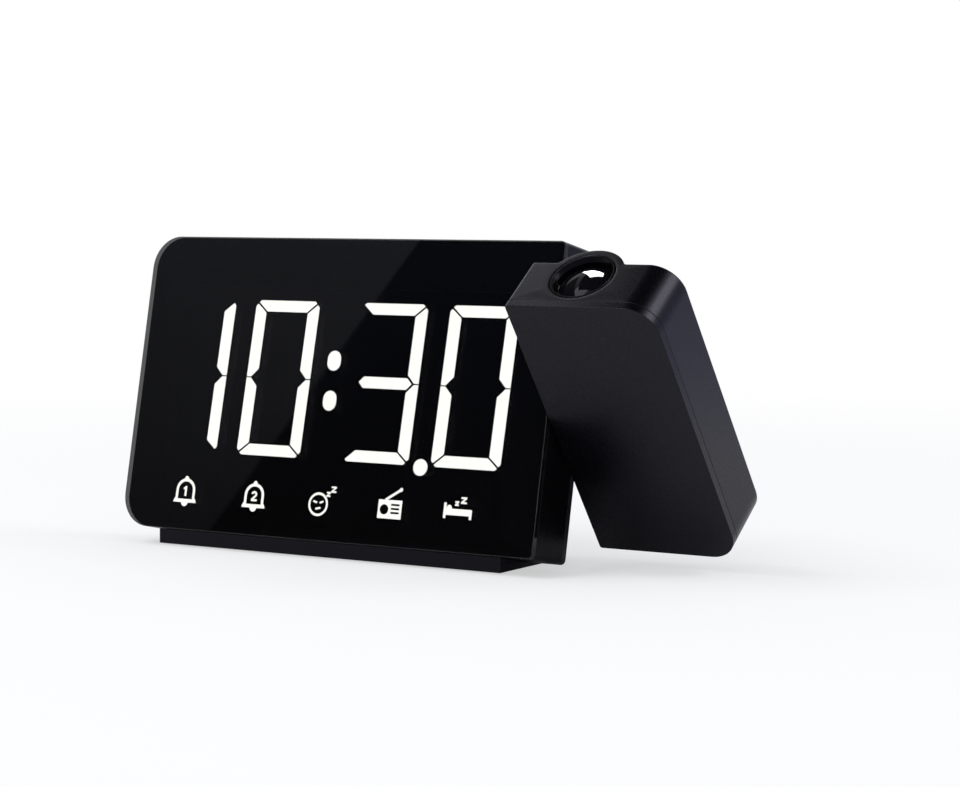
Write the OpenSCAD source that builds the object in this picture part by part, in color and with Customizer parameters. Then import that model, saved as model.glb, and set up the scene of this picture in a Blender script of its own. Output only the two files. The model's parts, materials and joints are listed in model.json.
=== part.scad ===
// Projection alarm clock: a leaning display slab on a low foot, and a projector arm that
// turns on a hollow pivot at the slab's right end. All sizes are in millimetres.
// X runs along the display, Y away from the viewer, Z up. The origin is on the table, in
// the middle of the clock as seen from above. At rest the arm is swung forward.

/* [Body] */
// Width of the display slab
body_w = 150; // [145:1:165]
// Height of the slab and of the arm
body_h = 92; // [90:1:104]
// Depth of the slab
body_d = 19.5; // [19.5:0.5:24]
// Angle by which the slab leans back
lean = 12; // [8:1:15]
// Radius of the slab's two left corners
corner_r = 10; // [6:1:14]
// Radius of the slab's two right corners, beside the arm
edge_r = 1.5; // [1:0.25:2]
// Wall of the front case
wall_t = 2; // [1.6:0.1:2.2]
// Smoked window over the whole front
window_t = 2; // [1.6:0.1:2.4]
// Rear cover of the slab
cover_t = 2; // [1.6:0.1:2.4]
// Front web of the case, behind the window
web_t = 1.5; // [1.2:0.1:1.8]

/* [Foot] */
// Width of the foot
foot_w = 125; // [110:1:135]
// Depth of the foot
foot_d = 44; // [42:1:54]
// Distance of the foot's front face behind the slab's lower front edge
foot_set_back = 3.5; // [2:0.5:6]
// Height of the slab's lower front edge above the table
edge_height = 5.8; // [5.5:0.1:8]
// Height of the foot's underside above the table
foot_clear = 0.4; // [0.3:0.1:0.8]
// Height at which the heel meets the slab's back
heel_h = 14; // [12:0.5:18]
// Height of the heel's rear face
heel_rear_h = 7; // [6:0.5:9]
// Radius of the foot's two rear corners
foot_corner_r = 12; // [10:0.5:14]
// Radius of a rubber pad
pad_r = 4; // [3:0.5:5]
// Thickness of a rubber pad
pad_t = 1.2; // [1:0.1:1.6]

/* [Arm] */
// Width of the projector arm
arm_w = 46; // [44:1:52]
// Gap between the slab and the arm
arm_gap = 0.5; // [0.4:0.1:0.8]
// Forward tilt of the arm at rest
arm_tilt = 36.6; // [0:0.1:60]
// Radius of the arm's two right corners
arm_corner_r = 9; // [7:1:12]
// Thickness of the arm's front cover
arm_cover_t = 2.7; // [2.2:0.1:3]
// Width and depth of the parting groove behind the cover
groove = 0.35; // [0.25:0.05:0.5]
// Wall of the arm shell
arm_wall_t = 2; // [1.6:0.1:2.4]

/* [Lens] */
// Distance of the lens axis from the arm's left side
lens_x = 18.8; // [18:0.1:21]
// Depth of the lens axis behind the arm's front
lens_y = 13.5; // [13.2:0.1:14]
// Radius of the lens housing on the arm's back
boss_r = 12; // [11.5:0.1:13]
// Length of the lens housing
boss_l = 48; // [46:1:52]
// Outer radius of the focus ring
ring_r = 9.4; // [9.2:0.1:9.6]
// Length of the focus ring
ring_l = 9; // [8:0.5:10]
// Wall of the focus ring
ring_wall = 1.3; // [1.1:0.1:1.5]
// Radius of the objective lens
objective_r = 6.6; // [6:0.1:6.8]
// Depth of the lens face below the ring's rim
lens_recess = 4.5; // [3.5:0.5:5.5]
// Height of the lens bore's end above the pivot axis
bore_end = 4.2; // [3:0.1:6]

/* [Pivot] */
// Distance of the pivot axis behind the slab's middle
pivot_set = 1.8; // [0:0.1:1.9]
// Outer radius of the hollow pivot tube
tube_r = 4; // [3.8:0.1:4.2]
// Bore radius of the pivot tube
tube_bore_r = 2.4; // [2.2:0.1:2.6]
// Wall of the pivot bush
bush_wall = 1.2; // [1:0.1:1.3]
// Length of the pivot bush
bush_l = 8; // [6:0.5:9]
// Running clearance between pivot tube and bush
pivot_clear = 0.05; // [0.02:0.01:0.09]

/* [Display] */
// Distance of the digits' top below the slab's top
digit_top = 19.3; // [17:0.1:26]
// Distance of the first digit's middle from the slab's left side
digit_left = 20.6; // [19:0.1:24]
// Distance of the last digit's middle from the slab's right side
digit_right = 26.4; // [25:0.1:30]
// Gap between the two digits of a pair
digit_gap = 7.8; // [6:0.1:9]
// Distance from the hours to the colon's middle
colon_left = 8.1; // [7:0.1:9]
// Distance from the colon's middle to the minutes
colon_right = 7.3; // [7:0.1:9]
// Stroke of the upright segments
stroke_v = 4.2; // [3.5:0.1:5]
// Stroke of the level segments
stroke_h = 3.5; // [3:0.1:4.5]
// Gap between neighbouring segments
segment_gap = 0.35; // [0.3:0.05:0.6]
// Forward slant of the digits in degrees
slant = 1.2; // [0:0.1:6]
// Height of the digits' foot above the slab's lower edge
digit_base = 24.6; // [22:0.1:28]
// Height of the sign row's middle above the slab's lower edge
sign_base = 11.8; // [10:0.2:14]
// Depth of the segment reflector
reflector_d = 6; // [5:0.2:6.4]

/* [Keys] */
// Distance of the outermost key's middle from the slab's end
key_margin = 16.5; // [16:0.5:20]
// Space between the snooze bar and the next key
key_space = 4; // [2:0.5:6]
// Width of a small key
key_w = 9; // [7:0.5:9.5]
// Distance between small keys
key_pitch = 12; // [11.5:0.5:13]
// Depth of a key
key_d = 7; // [5.5:0.5:7.5]
// Height of a key above the top wall
key_proud = 0.7; // [0.6:0.1:0.8]
// Travel of a key
key_travel = 0.5; // [0.3:0.1:0.6]
// Gap round a key
key_gap = 0.25; // [0.2:0.05:0.3]

/* [Battery] */
// Radius of the back-up coin cell
cell_r = 10; // [8:0.5:10]
// Thickness of the coin cell
cell_t = 3.2; // [2:0.1:3.2]
// Thickness of the battery door
door_t = 1.4; // [1.2:0.1:1.8]

/* [Hidden] */
$fn = 64;

// Clearances and small sizes
seat = 0.05;            // between pieces that are fixed to each other
slide_clear = 0.2;      // between a sliding piece and its track
cut = 1;                // how far a cutting solid runs past a face
board_t = 1.6;          // every circuit board
screw_r = 1.3;          // thread of every small screw
screw_head_r = 2.6;
screw_head_t = 1.4;
post_r = 3;
head_sink = 0.1;         // of a screw head below its face
case_screw_l = 8;

// Places of the slab and the arm
overall_w = body_w + arm_gap + arm_w;
body_cx = -overall_w / 2 + body_w / 2;
arm_cx = overall_w / 2 - arm_w / 2;
slab_z = edge_height + body_h / 2 * cos(lean) - body_d / 2 * sin(lean);
// The arm reaches furthest to the front and to the back, so its middle is the clock's
slab_y = -pivot_set * (cos(lean) - cos(arm_tilt));
front_y = -body_d / 2;
back_y = body_d / 2;
case_y = front_y + window_t;
case_back_y = back_y - cover_t;
half_w = body_w / 2;
half_h = body_h / 2;
edge_y = slab_y + front_y * cos(lean) - half_h * sin(lean);

// Display module
digit_h = body_h - digit_base - digit_top;
digit_pitch = (body_w - digit_left - digit_right - colon_left - colon_right + digit_gap) / 3;
digit_w = digit_pitch - digit_gap;
reflector_rim = 4;
reflector_left = 16;
reflector_right = 13.5;
reflector_bottom = 6;
reflector_y = case_y + 0.1;
reflector_back_y = reflector_y + reflector_d;
reflector_x0 = -half_w + reflector_left;
reflector_x1 = half_w - reflector_right;
reflector_z0 = -half_h + reflector_bottom;
reflector_z1 = half_h - digit_top + reflector_rim;
led_depth = 1.4;
digit_z = -half_h + digit_base + digit_h / 2;
first_x = -half_w + digit_left;
last_x = half_w - digit_right;
digit_x = [first_x, first_x + digit_pitch, last_x - digit_pitch, last_x];
colon_x = digit_x[1] + digit_w / 2 + colon_left;
point_x = (digit_x[2] + digit_x[3]) / 2;
// Places of the five signs, in quarters of the way from the first to the last digit
sign_step = [0.06, 1.09, 2.06, 3.03, 3.95];
sign_x = [for (step = sign_step) first_x + step * (last_x - first_x) / 4];
sign_z = -half_h + sign_base;
dot_r = 2.45;
dot_rise = 0.6;         // by which a dot of the colon is taller than wide, at each end
colon_z = 6.1;
point_r = 2.5;
point_z = -half_h + digit_base - 0.4;
// Segments of each digit: 1 lit, 0 dark; the leading digit has only the two of a 1
none = -1;
lit = [[none, 1, 1, none, none, none, none], [1, 1, 1, 1, 1, 1, 0], [1, 1, 1, 1, 0, 0, 1],
       [1, 1, 1, 1, 1, 1, 0]];
segment_list = [for (d = [0:3], i = [0:6]) if (lit[d][i] != none) [d, i]];

// Boards and speaker
display_back_y = reflector_back_y + board_t;
spacer_l = 3.6;
spacer_r = 2.4;
main_y = display_back_y + spacer_l;
main_z0 = reflector_z0 + 2;
main_z1 = reflector_z1 - 2;
speaker_r = 18;
speaker_depth = 5;
speaker_gap = 6;
speaker_left = 37;      // from the slab's left side to the speaker's middle, past the ports
speaker_x = -half_w + speaker_left;
main_x0 = speaker_x + speaker_r + speaker_gap;
main_x1 = half_w - 15;
speaker_flange_t = 1.2;
speaker_y = case_back_y - speaker_depth;
magnet_r = 8;
magnet_t = 1.8;
notch_h = 5;
socket_w = 5;
socket_h = 8;
socket_x = main_x1 - 12;

// Keys and their board
key_x1 = half_w - key_margin;
key_x = [-key_x1, -key_x1 + key_pitch, -key_x1 + 2 * key_pitch,
         key_x1 - 2 * key_pitch, key_x1 - key_pitch, key_x1];
snooze_l = 2 * (key_x[3] - key_w / 2 - key_space);
key_y = 0.5;
key_flange_t = 1;
key_flange_w = 0.8;
key_top_z = half_h + key_proud;
key_flange_z = half_h - wall_t - 0.1;
key_stem_z = key_flange_z - key_flange_t - 0.6;
plunger_z = key_stem_z - key_travel - 0.1;
switch_h = 3.5;
switch_w = 6;
key_board_end = 4;
key_board_d = 8.4;
plunger_h = 0.6;
plunger_r = 1.7;
key_board_z = plunger_z - plunger_h - switch_h;
snooze_switch_x = snooze_l / 2 - 8;

// Pivot, measured to the left from the slab's right face
bush_r = tube_r + pivot_clear + bush_wall;
flange_t = 1;
washer_t = 0.8;
clip_t = 1;
tube_end = 1.2;
pivot_boss_r = bush_r + 1.4;
bush_flange_r = bush_r + 0.5;
flange_relief = 0.4;      // round the flange, into the rear cover
washer_x = half_w - bush_l - flange_t - washer_t;
clip_x = washer_x - clip_t;
tube_x = clip_x - tube_end;
clip_groove = 0.8;
clip_r = tube_r + 1.4;
flange_h = 24;
flange_w = 2 * (back_y - arm_wall_t - pivot_set - 0.4);
flange_plate_t = 2;
flange_screw_z = flange_h / 2 - 3;
wire_r = 0.48;
wire_ring = 1.1;         // on which six wires lie round the seventh
cable_end = 5;

// Arm
arm_shell_y = front_y + arm_cover_t;
arm_half_w = arm_w / 2;
arm_edge_r = 0.8;
axis_x = -arm_half_w + lens_x;
axis_y = front_y + lens_y;
ring_bore_r = ring_r + 0.08;
housing_wall = 1.6;
ring_z = half_h - ring_l;
cell_bore_r = ring_r - ring_wall;
lens_cell_r = cell_bore_r - 0.08;
cell_l = 14;
objective_t = 4;
cell_top_z = half_h - lens_recess + 0.6;
housing_r = ring_bore_r + housing_wall;
dome_z = half_h - boss_l + boss_r;
dome_wall = 1;
housing_floor = 1.5;
sink_t = 3;
sink_gap = 0.1;
sleeve_r = ring_bore_r - seat;
sleeve_top_z = ring_z - 0.3;
// The bore ends above the pivot, and keeps a wall inside the housing's round end
bore_z = max(bore_end, dome_z - sqrt(pow(boss_r, 2) - pow(ring_bore_r + dome_wall, 2)));
sleeve_z = bore_z + sink_t + sink_gap;
optic_r = cell_bore_r - 0.3;
shelf_r = optic_r - 0.8;
led_space = 6;
condenser_z = sleeve_z + led_space;
condenser_t = 4;
condenser_rim = 1.6;
condenser_sag = 2.3;
spacer_wall = 0.7;
// The spacer's foot stands on the condenser's curved face
spacer_foot_z = condenser_z + condenser_rim + 0.02
                + condenser_sag * (1 - pow((optic_r - spacer_wall) / optic_r, 2));
spacer_z = condenser_z + condenser_t;
spacer_h = 2.5;
slide_z = spacer_z + spacer_h;
slide_frame_t = 2.2;
slide_w = 9;
slide_t = 1.2;
led_board_t = 1;
pcb_y = 4.6;
pcb_x = arm_half_w - arm_wall_t - 5;
corner_post_r = 2.8;
post_inset = 7;
corner_post = [[-arm_half_w + 6, half_h - 6], [arm_half_w - post_inset, half_h - post_inset],
               [-arm_half_w + 6, -half_h + 5.5], [arm_half_w - post_inset, -half_h + post_inset]];
pcb_z0 = -half_h + post_inset + corner_post_r + 0.3;
pcb_z1 = bore_z - housing_floor - 0.3;
arm_post = [[-pcb_x + 3, pcb_z0 + 3], [pcb_x - 3, pcb_z0 + 3], [pcb_x - 3, pcb_z1 - 8]];

// Foot and battery bay
foot_y0 = edge_y + foot_set_back;
foot_y1 = foot_y0 + foot_d;
foot_screw_x = foot_w / 2 - 17;
foot_screw_z = -half_h + 6.5;
foot_screw_l = 8;
door_w = 2 * cell_r + 6;
door_lip = 1;
bay_y = foot_y1 - cell_r - 3.2;
door_y0 = bay_y - cell_r - 1.2;
bay_z = foot_clear + door_t + 0.6;
contact_t = 0.3;
pad_inset = 7;

// ---------- helpers ----------

module in_body() {
  translate([body_cx, slab_y, slab_z]) rotate([-lean, 0, 0]) children();
}

module in_arm() {
  translate([arm_cx, slab_y + pivot_set * cos(lean), slab_z - pivot_set * sin(lean)])
    rotate([arm_tilt, 0, 0]) translate([0, -pivot_set, 0]) children();
}

// Round the pivot axis, in the slab as in the arm
module on_pivot() {
  translate([0, pivot_set, 0]) children();
}

// A 2D shape, drawn as seen from the front, made a plate from y0 to y0 + t
module plate(y0, t) {
  translate([0, y0 + t, 0]) rotate([90, 0, 0]) linear_extrude(t) children();
}

module rod_x(x0, x1, r) {
  translate([x0, 0, 0]) rotate([0, 90, 0]) cylinder(h = x1 - x0, r = r);
}

module rod_y(y0, y1, r) {
  translate([0, y0, 0]) rotate([-90, 0, 0]) cylinder(h = y1 - y0, r = r);
}

module block(x0, x1, y0, y1, z0, z1) {
  translate([x0, y0, z0]) cube([x1 - x0, y1 - y0, z1 - z0]);
}

// What a rounded corner takes away; the corner is at the origin and the plate lies
// towards sx, sz
module corner_waste(r, sx, sz) {
  difference() {
    translate([sx > 0 ? -cut : -r, sz > 0 ? -cut : -r]) square(r + cut);
    translate([sx * r, sz * r]) circle(r);
  }
}

module outline(w, h, r_left, r_right, inset = 0) {
  difference() {
    square([w - 2 * inset, h - 2 * inset], center = true);
    for (sx = [-1, 1], sz = [-1, 1])
      translate([sx * (w / 2 - inset), sz * (h / 2 - inset)])
        corner_waste(max((sx < 0 ? r_left : r_right) - inset, 0.4), -sx, -sz);
  }
}

module slab_outline(inset = 0) {
  outline(body_w, body_h, corner_r, edge_r, inset);
}

module arm_outline(inset = 0) {
  outline(arm_w, body_h, arm_edge_r, arm_corner_r, inset);
}

// A screw along +Y whose head's underside is at y
module screw_y(y, length) {
  rod_y(y - screw_head_t, y, screw_head_r);
  rod_y(y - seat, y + length, screw_r);
}

// ---------- digits and signs ----------

function lean_point(p) = [p.x + p.y * tan(slant), p.y];
function mirror_z(points) = [for (p = points) [p.x, -p.y]];
function mirror_x(points) = [for (p = points) [-p.x, p.y]];

half_dw = digit_w / 2;
half_dh = digit_h / 2;
chop = 1.5;
gap = segment_gap;
waist = 0.4 * stroke_v;   // flat end of an upright segment at the middle of the digit
waist_gap = 0.8;          // from there to the middle segment's point

// Top segment: a bar with mitred ends and chopped outer corners
top_bar = [[-half_dw + chop / 2 + gap, half_dh - chop / 2 + 0.1], [-half_dw + chop + gap, half_dh],
           [half_dw - chop - gap, half_dh], [half_dw - chop / 2 - gap, half_dh - chop / 2 + 0.1],
           [half_dw - stroke_v - gap, half_dh - stroke_h],
           [-half_dw + stroke_v + gap, half_dh - stroke_h]];
// Upper left segment: mitred above, cut on its inner side at the waist
left_bar = [[-half_dw + chop / 2, half_dh - chop / 2 - gap], [-half_dw, half_dh - chop - gap],
            [-half_dw, gap / 2], [-half_dw + waist, gap / 2],
            [-half_dw + stroke_v, gap / 2 + stroke_v - waist],
            [-half_dw + stroke_v, half_dh - stroke_h - gap]];
// Middle segment: a bar with pointed ends
bar_x = half_dw - waist - waist_gap;
middle_bar = [[-bar_x, 0], [-bar_x + stroke_h / 2, stroke_h / 2],
              [bar_x - stroke_h / 2, stroke_h / 2], [bar_x, 0],
              [bar_x - stroke_h / 2, -stroke_h / 2], [-bar_x + stroke_h / 2, -stroke_h / 2]];
segments = [top_bar, mirror_x(left_bar), mirror_z(mirror_x(left_bar)), mirror_z(top_bar),
            mirror_z(left_bar), left_bar, middle_bar];

module segment(i) {
  polygon([for (p = segments[i]) lean_point(p)]);
}

// All segments of the digits that are lit (state 1) or dark (state 0)
module digits(state) {
  for (s = segment_list)
    if (lit[s[0]][s[1]] == state) translate([digit_x[s[0]], digit_z]) segment(s[1]);
}

module dots() {
  for (s = [-1, 1]) translate([colon_x, digit_z + s * colon_z]) {
    for (t = [-1, 1]) translate([0, t * dot_rise]) circle(dot_r);
    square([2 * dot_r, 2 * dot_rise], center = true);
  }
  translate([point_x, point_z]) circle(point_r);
}

// Height of a sign's line art
sign_line = 0.95;

module numeral_one() {
  polygon([[-0.35, -1.5], [0.45, -1.5], [0.45, 1.6], [-0.2, 1.6], [-1, 0.9], [-0.6, 0.45],
           [-0.35, 0.7]]);
}

module numeral_two() {
  polygon([[-1.1, -1.5], [1.15, -1.5], [1.15, -0.85], [0, -0.85], [1, 0.2], [1.1, 0.9],
           [0.65, 1.5], [-0.1, 1.65], [-0.8, 1.4], [-1.15, 0.8], [-0.5, 0.6], [-0.2, 0.95],
           [0.25, 0.95], [0.35, 0.5], [-1.1, -0.85]]);
}

module bell_body(grow) {
  translate([0, 0.5]) circle(2.75 + grow);
  translate([-2.75 - grow, -2.2 - grow * 0.8]) square([5.5 + 2 * grow, 2.7 + grow * 0.8]);
}

module bell(number) {
  difference() {
    union() {
      bell_body(sign_line);
      polygon([[-4.4, -3.3], [4.4, -3.3], [4.2, -2.4], [3.6, -1.6], [-3.6, -1.6], [-4.2, -2.4]]);
      translate([0, 4.2]) circle(0.75);
      translate([0, -3.2]) circle(1.3);
    }
    bell_body(0);
  }
  translate([0, 0.2]) {
    if (number == 1) numeral_one();
    if (number == 2) numeral_two();
  }
}

module letter_z(w, t) {
  polygon([[-w, w], [w, w], [w, w - t], [-w + 1.6 * t, -w + t], [w, -w + t], [w, -w], [-w, -w],
           [-w, -w + t], [w - 1.6 * t, w - t], [-w, w - t]]);
}

module sleeper() {
  translate([-0.9, -0.7]) {
    difference() {
      circle(3.6);
      circle(2.85);
    }
    for (s = [-1, 1]) translate([s * 1.15, 0.7]) rotate(s * 18) square([1.5, 0.6], center = true);
    translate([0.1, -1.2]) rotate(12) square([1.9, 0.6], center = true);
  }
  translate([2.55, 2.5]) letter_z(0.75, 0.45);
  translate([4.3, 4]) letter_z(0.95, 0.5);
}

module radio() {
  difference() {
    union() {
      translate([-4.2, -3.4]) square([8.4, 5.6]);
      translate([-1.6, 1.8]) rotate(32) square([6, 0.8]);
      translate([3.4, 5.4]) circle(0.6);
    }
    translate([-2, -0.7]) circle(1.5);
    for (i = [0:2]) translate([0.4, -1.9 + i * 1.2]) square([2.9, 0.6]);
  }
}

module bed() {
  translate([-4.9, -1.9]) square([0.9, 4.6]);
  translate([-4.9, -0.9]) square([9.8, 1.9]);
  translate([4, -1.9]) square([0.9, 1.2]);
  translate([-3, 1.2]) circle(0.9);
  translate([-0.5, 2.6]) letter_z(0.7, 0.45);
  translate([1.8, 3.6]) letter_z(1, 0.55);
}

module signs() {
  translate([sign_x[0], sign_z]) bell(1);
  translate([sign_x[1], sign_z]) bell(2);
  translate([sign_x[2], sign_z]) sleeper();
  translate([sign_x[3], sign_z]) radio();
  translate([sign_x[4], sign_z]) bed();
}

// ---------- slab ----------

module display_window() {
  color([0.05, 0.05, 0.06]) in_body() plate(front_y, window_t) slab_outline();
}

screw_place = [[-half_w + 8, half_h - 11], [-half_w + 8, -half_h + 11],
               [half_w - 7, half_h - 11], [half_w - 7, -half_h + 11]];
post_y = case_y + web_t - seat;

module front_case() {
  color([0.1, 0.1, 0.11]) in_body() difference() {
    union() {
      difference() {
        plate(case_y, case_back_y - case_y) slab_outline();
        plate(case_y + web_t, body_d) slab_outline(wall_t);
      }
      for (p = screw_place) translate([p.x, 0, p.y]) rod_y(post_y, case_back_y, post_r);
      intersection() {
        on_pivot() rod_x(half_w - bush_l, half_w - wall_t / 2, pivot_boss_r);
        block(0, body_w, case_y, case_back_y, -body_h, body_h);
      }
      for (s = [-1, 1]) translate([s * (key_x[5] - 1), 0, 0])
        block(-3, 3, post_y, key_y + key_d / 2, key_board_z - board_t - 2, key_board_z - board_t);
    }
    block(reflector_x0 - slide_clear, reflector_x1 + slide_clear, case_y - cut,
          case_y + web_t + seat, reflector_z0 - slide_clear, reflector_z1 + slide_clear);
    for (p = screw_place)
      translate([p.x, 0, p.y]) rod_y(case_back_y - case_screw_l - cut, case_back_y + cut, screw_r);
    on_pivot() rod_x(half_w - bush_l - cut, half_w + cut, bush_r + seat);
    for (x = key_x) key_slot(x, key_w);
    key_slot(0, snooze_l);
    power_nose(seat);
    usb_mouth(seat);
  }
}

module key_slot(x, w) {
  block(x - w / 2 - key_gap, x + w / 2 + key_gap, key_y - key_d / 2 - key_gap,
        key_y + key_d / 2 + key_gap, half_h - wall_t - cut, half_h + cut);
}

grille_r = 14;
grille_slot = 1.6;
grille_pitch = 3.2;
vent_x = 20;
vent_slot = 2;
vent_pitch = 6;
vent_l = 10;
vent_top = 10;

module rear_cover() {
  color([0.1, 0.1, 0.11]) in_body() difference() {
    union() {
      plate(case_back_y, cover_t) slab_outline();
      translate([speaker_x, 0, 0]) difference() {
        rod_y(case_back_y - 2, case_back_y + seat, speaker_r + 1.8);
        rod_y(case_back_y - 2 - cut, case_back_y + cut, speaker_r + 0.3);
      }
    }
    for (i = [-4:4]) translate([speaker_x, 0, 0]) {
      half_l = sqrt(grille_r * grille_r - pow(i * grille_pitch, 2));
      block(-half_l, half_l, 0, back_y + cut,
            i * grille_pitch - grille_slot / 2, i * grille_pitch + grille_slot / 2);
    }
    for (p = screw_place) translate([p.x, 0, p.y]) {
      rod_y(case_back_y - cut, back_y + cut, screw_r + slide_clear);
      rod_y(back_y - screw_head_t - head_sink, back_y + cut, screw_head_r + slide_clear);
    }
    for (s = [-1, 1]) translate([s * foot_screw_x, 0, foot_screw_z])
      rod_y(0, back_y + cut, screw_r + slide_clear);
    on_pivot() rod_x(tube_x - cut, half_w - bush_l, bush_flange_r + flange_relief);
    for (i = [0:5])
      block(vent_x + i * vent_pitch, vent_x + i * vent_pitch + vent_slot, 0, back_y + cut,
            half_h - vent_top - vent_l, half_h - vent_top);
  }
}

module case_screws() {
  color([0.25, 0.25, 0.27]) in_body() for (p = screw_place)
    translate([p.x, 0, p.y]) mirror([0, 1, 0])
      screw_y(-back_y + screw_head_t + head_sink, case_screw_l);
}

// ---------- display ----------

module pocket_shapes() {
  digits(1);
  digits(0);
  dots();
  signs();
}

module segment_reflector() {
  color([0.12, 0.12, 0.13]) in_body() difference() {
    block(reflector_x0, reflector_x1, reflector_y, reflector_back_y, reflector_z0, reflector_z1);
    plate(reflector_y - cut, reflector_d - led_depth + cut) pocket_shapes();
    for (p = led_place) translate([p.x, 0, p.y]) led_room();
  }
}

well_w = 3.2;
well_h = 2.4;

function segment_middle(i) =
  lean_point([(segments[i][2].x + segments[i][5].x) / 2, (segments[i][2].y + segments[i][5].y) / 2]);
led_place = concat(
  [for (s = segment_list) [digit_x[s[0]], digit_z] + segment_middle(s[1])],
  [[colon_x, digit_z - colon_z], [colon_x, digit_z + colon_z], [point_x, point_z]],
  [for (x = sign_x) [x, sign_z]]);

module led_room() {
  block(-well_w / 2, well_w / 2, reflector_back_y - led_depth - seat, reflector_back_y + cut,
        -well_h / 2, well_h / 2);
}

module inserts() {
  in_body() plate(reflector_y + seat, reflector_d - led_depth - 2 * seat) children();
}

module lit_segments() {
  color([1, 1, 0.93]) inserts() {
    digits(1);
    dots();
  }
}

module dark_segments() {
  color([0.16, 0.16, 0.16]) inserts() digits(0);
}

module status_signs() {
  color([1, 1, 0.93]) inserts() signs();
}

led_h = 0.9;

module led_chip() {
  block(-1.4, 1.4, reflector_back_y - led_h, reflector_back_y, -0.9, 0.9);
}

module segment_leds() {
  color([0.95, 0.9, 0.6]) in_body() for (p = led_place) translate([p.x, 0, p.y]) led_chip();
}

module display_board() {
  color([0.05, 0.3, 0.15]) in_body() difference() {
    block(reflector_x0, reflector_x1, reflector_back_y, display_back_y, reflector_z0,
          reflector_z1);
    block(socket_x - 1, reflector_x1 + cut, reflector_back_y - cut, display_back_y + cut,
          -notch_h, notch_h);
  }
}

// ---------- boards ----------

spacer_place = [[main_x0 + 4, main_z0 + 4], [main_x0 + 4, main_z1 - 4],
                [main_x1 - 4, main_z0 + 4], [main_x1 - 4, main_z1 - 4]];

module board_spacers() {
  color([0.8, 0.75, 0.5]) in_body() for (p = spacer_place)
    translate([p.x, 0, p.y]) rod_y(display_back_y, main_y, spacer_r);
}

module main_board() {
  color([0.05, 0.3, 0.15]) in_body()
    block(main_x0, main_x1, main_y, main_y + board_t, main_z0, main_z1);
}

// A chip of width w and height h on the back of the main board, centred at x, z
module chip(x, z, w, h, t) {
  block(x - w / 2, x + w / 2, main_y + board_t, main_y + board_t + t, z - h / 2, z + h / 2);
}

processor_w = 12;
processor_t = 1.4;
tuner_w = 7;
driver_w = 6;
driver_h = 5;
small_t = 1.2;
can_r = 2.5;
can_pitch = 8;

module main_chips() {
  main_x = (main_x0 + main_x1) / 2;
  main_z = (main_z0 + main_z1) / 2;
  can_z = main_z0 + can_pitch + can_r;
  color([0.08, 0.08, 0.08]) in_body() {
    chip(main_x - 3, main_z + 4, processor_w, processor_w, processor_t);
    chip(main_x + processor_w, main_z + 2 * processor_w - tuner_w, tuner_w, tuner_w, small_t);
    chip(main_x0 + 9, can_z + 2 * can_r, driver_w, driver_h, small_t);
    for (i = [0:2]) translate([main_x0 + 18 + i * can_pitch, 0, can_z])
      rod_y(main_y + board_t, main_y + board_t + small_t, can_r);
  }
}

module key_board() {
  color([0.05, 0.3, 0.15]) in_body()
    block(-key_x[5] - key_board_end, key_x[5] + key_board_end, key_y - key_board_d / 2,
          key_y + key_board_d / 2, key_board_z - board_t, key_board_z);
}

module tact_switches() {
  color([0.3, 0.3, 0.32]) in_body()
    for (x = concat(key_x, [-snooze_switch_x, snooze_switch_x]))
      translate([x, key_y, key_board_z]) {
        translate([-switch_w / 2, -switch_w / 2, 0]) cube([switch_w, switch_w, switch_h]);
        cylinder(h = switch_h + plunger_h, r = plunger_r);
      }
}

module speaker_basket() {
  color([0.5, 0.5, 0.52]) in_body() translate([speaker_x, 0, 0]) rotate([-90, 0, 0])
    rotate_extrude() polygon([
      [magnet_r - 2, speaker_y], [magnet_r + 1, speaker_y],
      [speaker_r - 2, case_back_y - seat - speaker_flange_t],
      [speaker_r, case_back_y - seat - speaker_flange_t], [speaker_r, case_back_y - seat],
      [speaker_r - 2.6, case_back_y - seat], [magnet_r + 0.5, speaker_y + 0.8],
      [magnet_r - 2, speaker_y + 0.8]]);
}

module speaker_cone() {
  color([0.12, 0.12, 0.12]) in_body() translate([speaker_x, 0, 0]) rotate([-90, 0, 0])
    rotate_extrude() polygon([
      [0, speaker_y + 2.4], [3, speaker_y + 1.8], [5, speaker_y + 1.5],
      [speaker_r - 5, case_back_y - 0.9], [speaker_r - 3.6, case_back_y - 0.5],
      [speaker_r - 3.6, case_back_y - 0.2], [speaker_r - 5.2, case_back_y - 0.5],
      [5, speaker_y + 2], [3, speaker_y + 2.6], [0, speaker_y + 3]]);
}

module speaker_magnet() {
  color([0.4, 0.4, 0.42]) in_body() translate([speaker_x, 0, 0])
    rod_y(speaker_y - magnet_t, speaker_y, magnet_r);
}

// ---------- sockets in the left end ----------

port_board_w = 17;
port_board_t = 1.2;
port_board_y = case_back_y - port_board_t - seat;
port_margin = 4.5;
port_gap = 0.3;
jack_base = 25;
jack_z = -half_h + jack_base;
jack_w = 8.4;
jack_h = 9;
jack_l = 11;
jack_y = port_board_y - jack_w / 2;
jack_nose_r = 3.7;
jack_bore_r = 2.8;
jack_pin_r = 0.95;
usb_pitch = 26;
usb_z = jack_z + usb_pitch;
usb_t = 5.6;
usb_w = 13.1;
usb_l = 14;
usb_y = port_board_y - usb_t;

module port_board() {
  color([0.05, 0.3, 0.15]) in_body()
    block(-half_w + wall_t + port_gap, -half_w + port_board_w, port_board_y,
          port_board_y + port_board_t, jack_z - jack_h / 2 - port_margin,
          usb_z + usb_w / 2 + port_margin);
}

module power_nose(grow) {
  translate([0, jack_y, jack_z]) rod_x(-half_w - cut * sign(grow), -half_w + wall_t + cut,
                                      jack_nose_r + grow);
}

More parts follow.
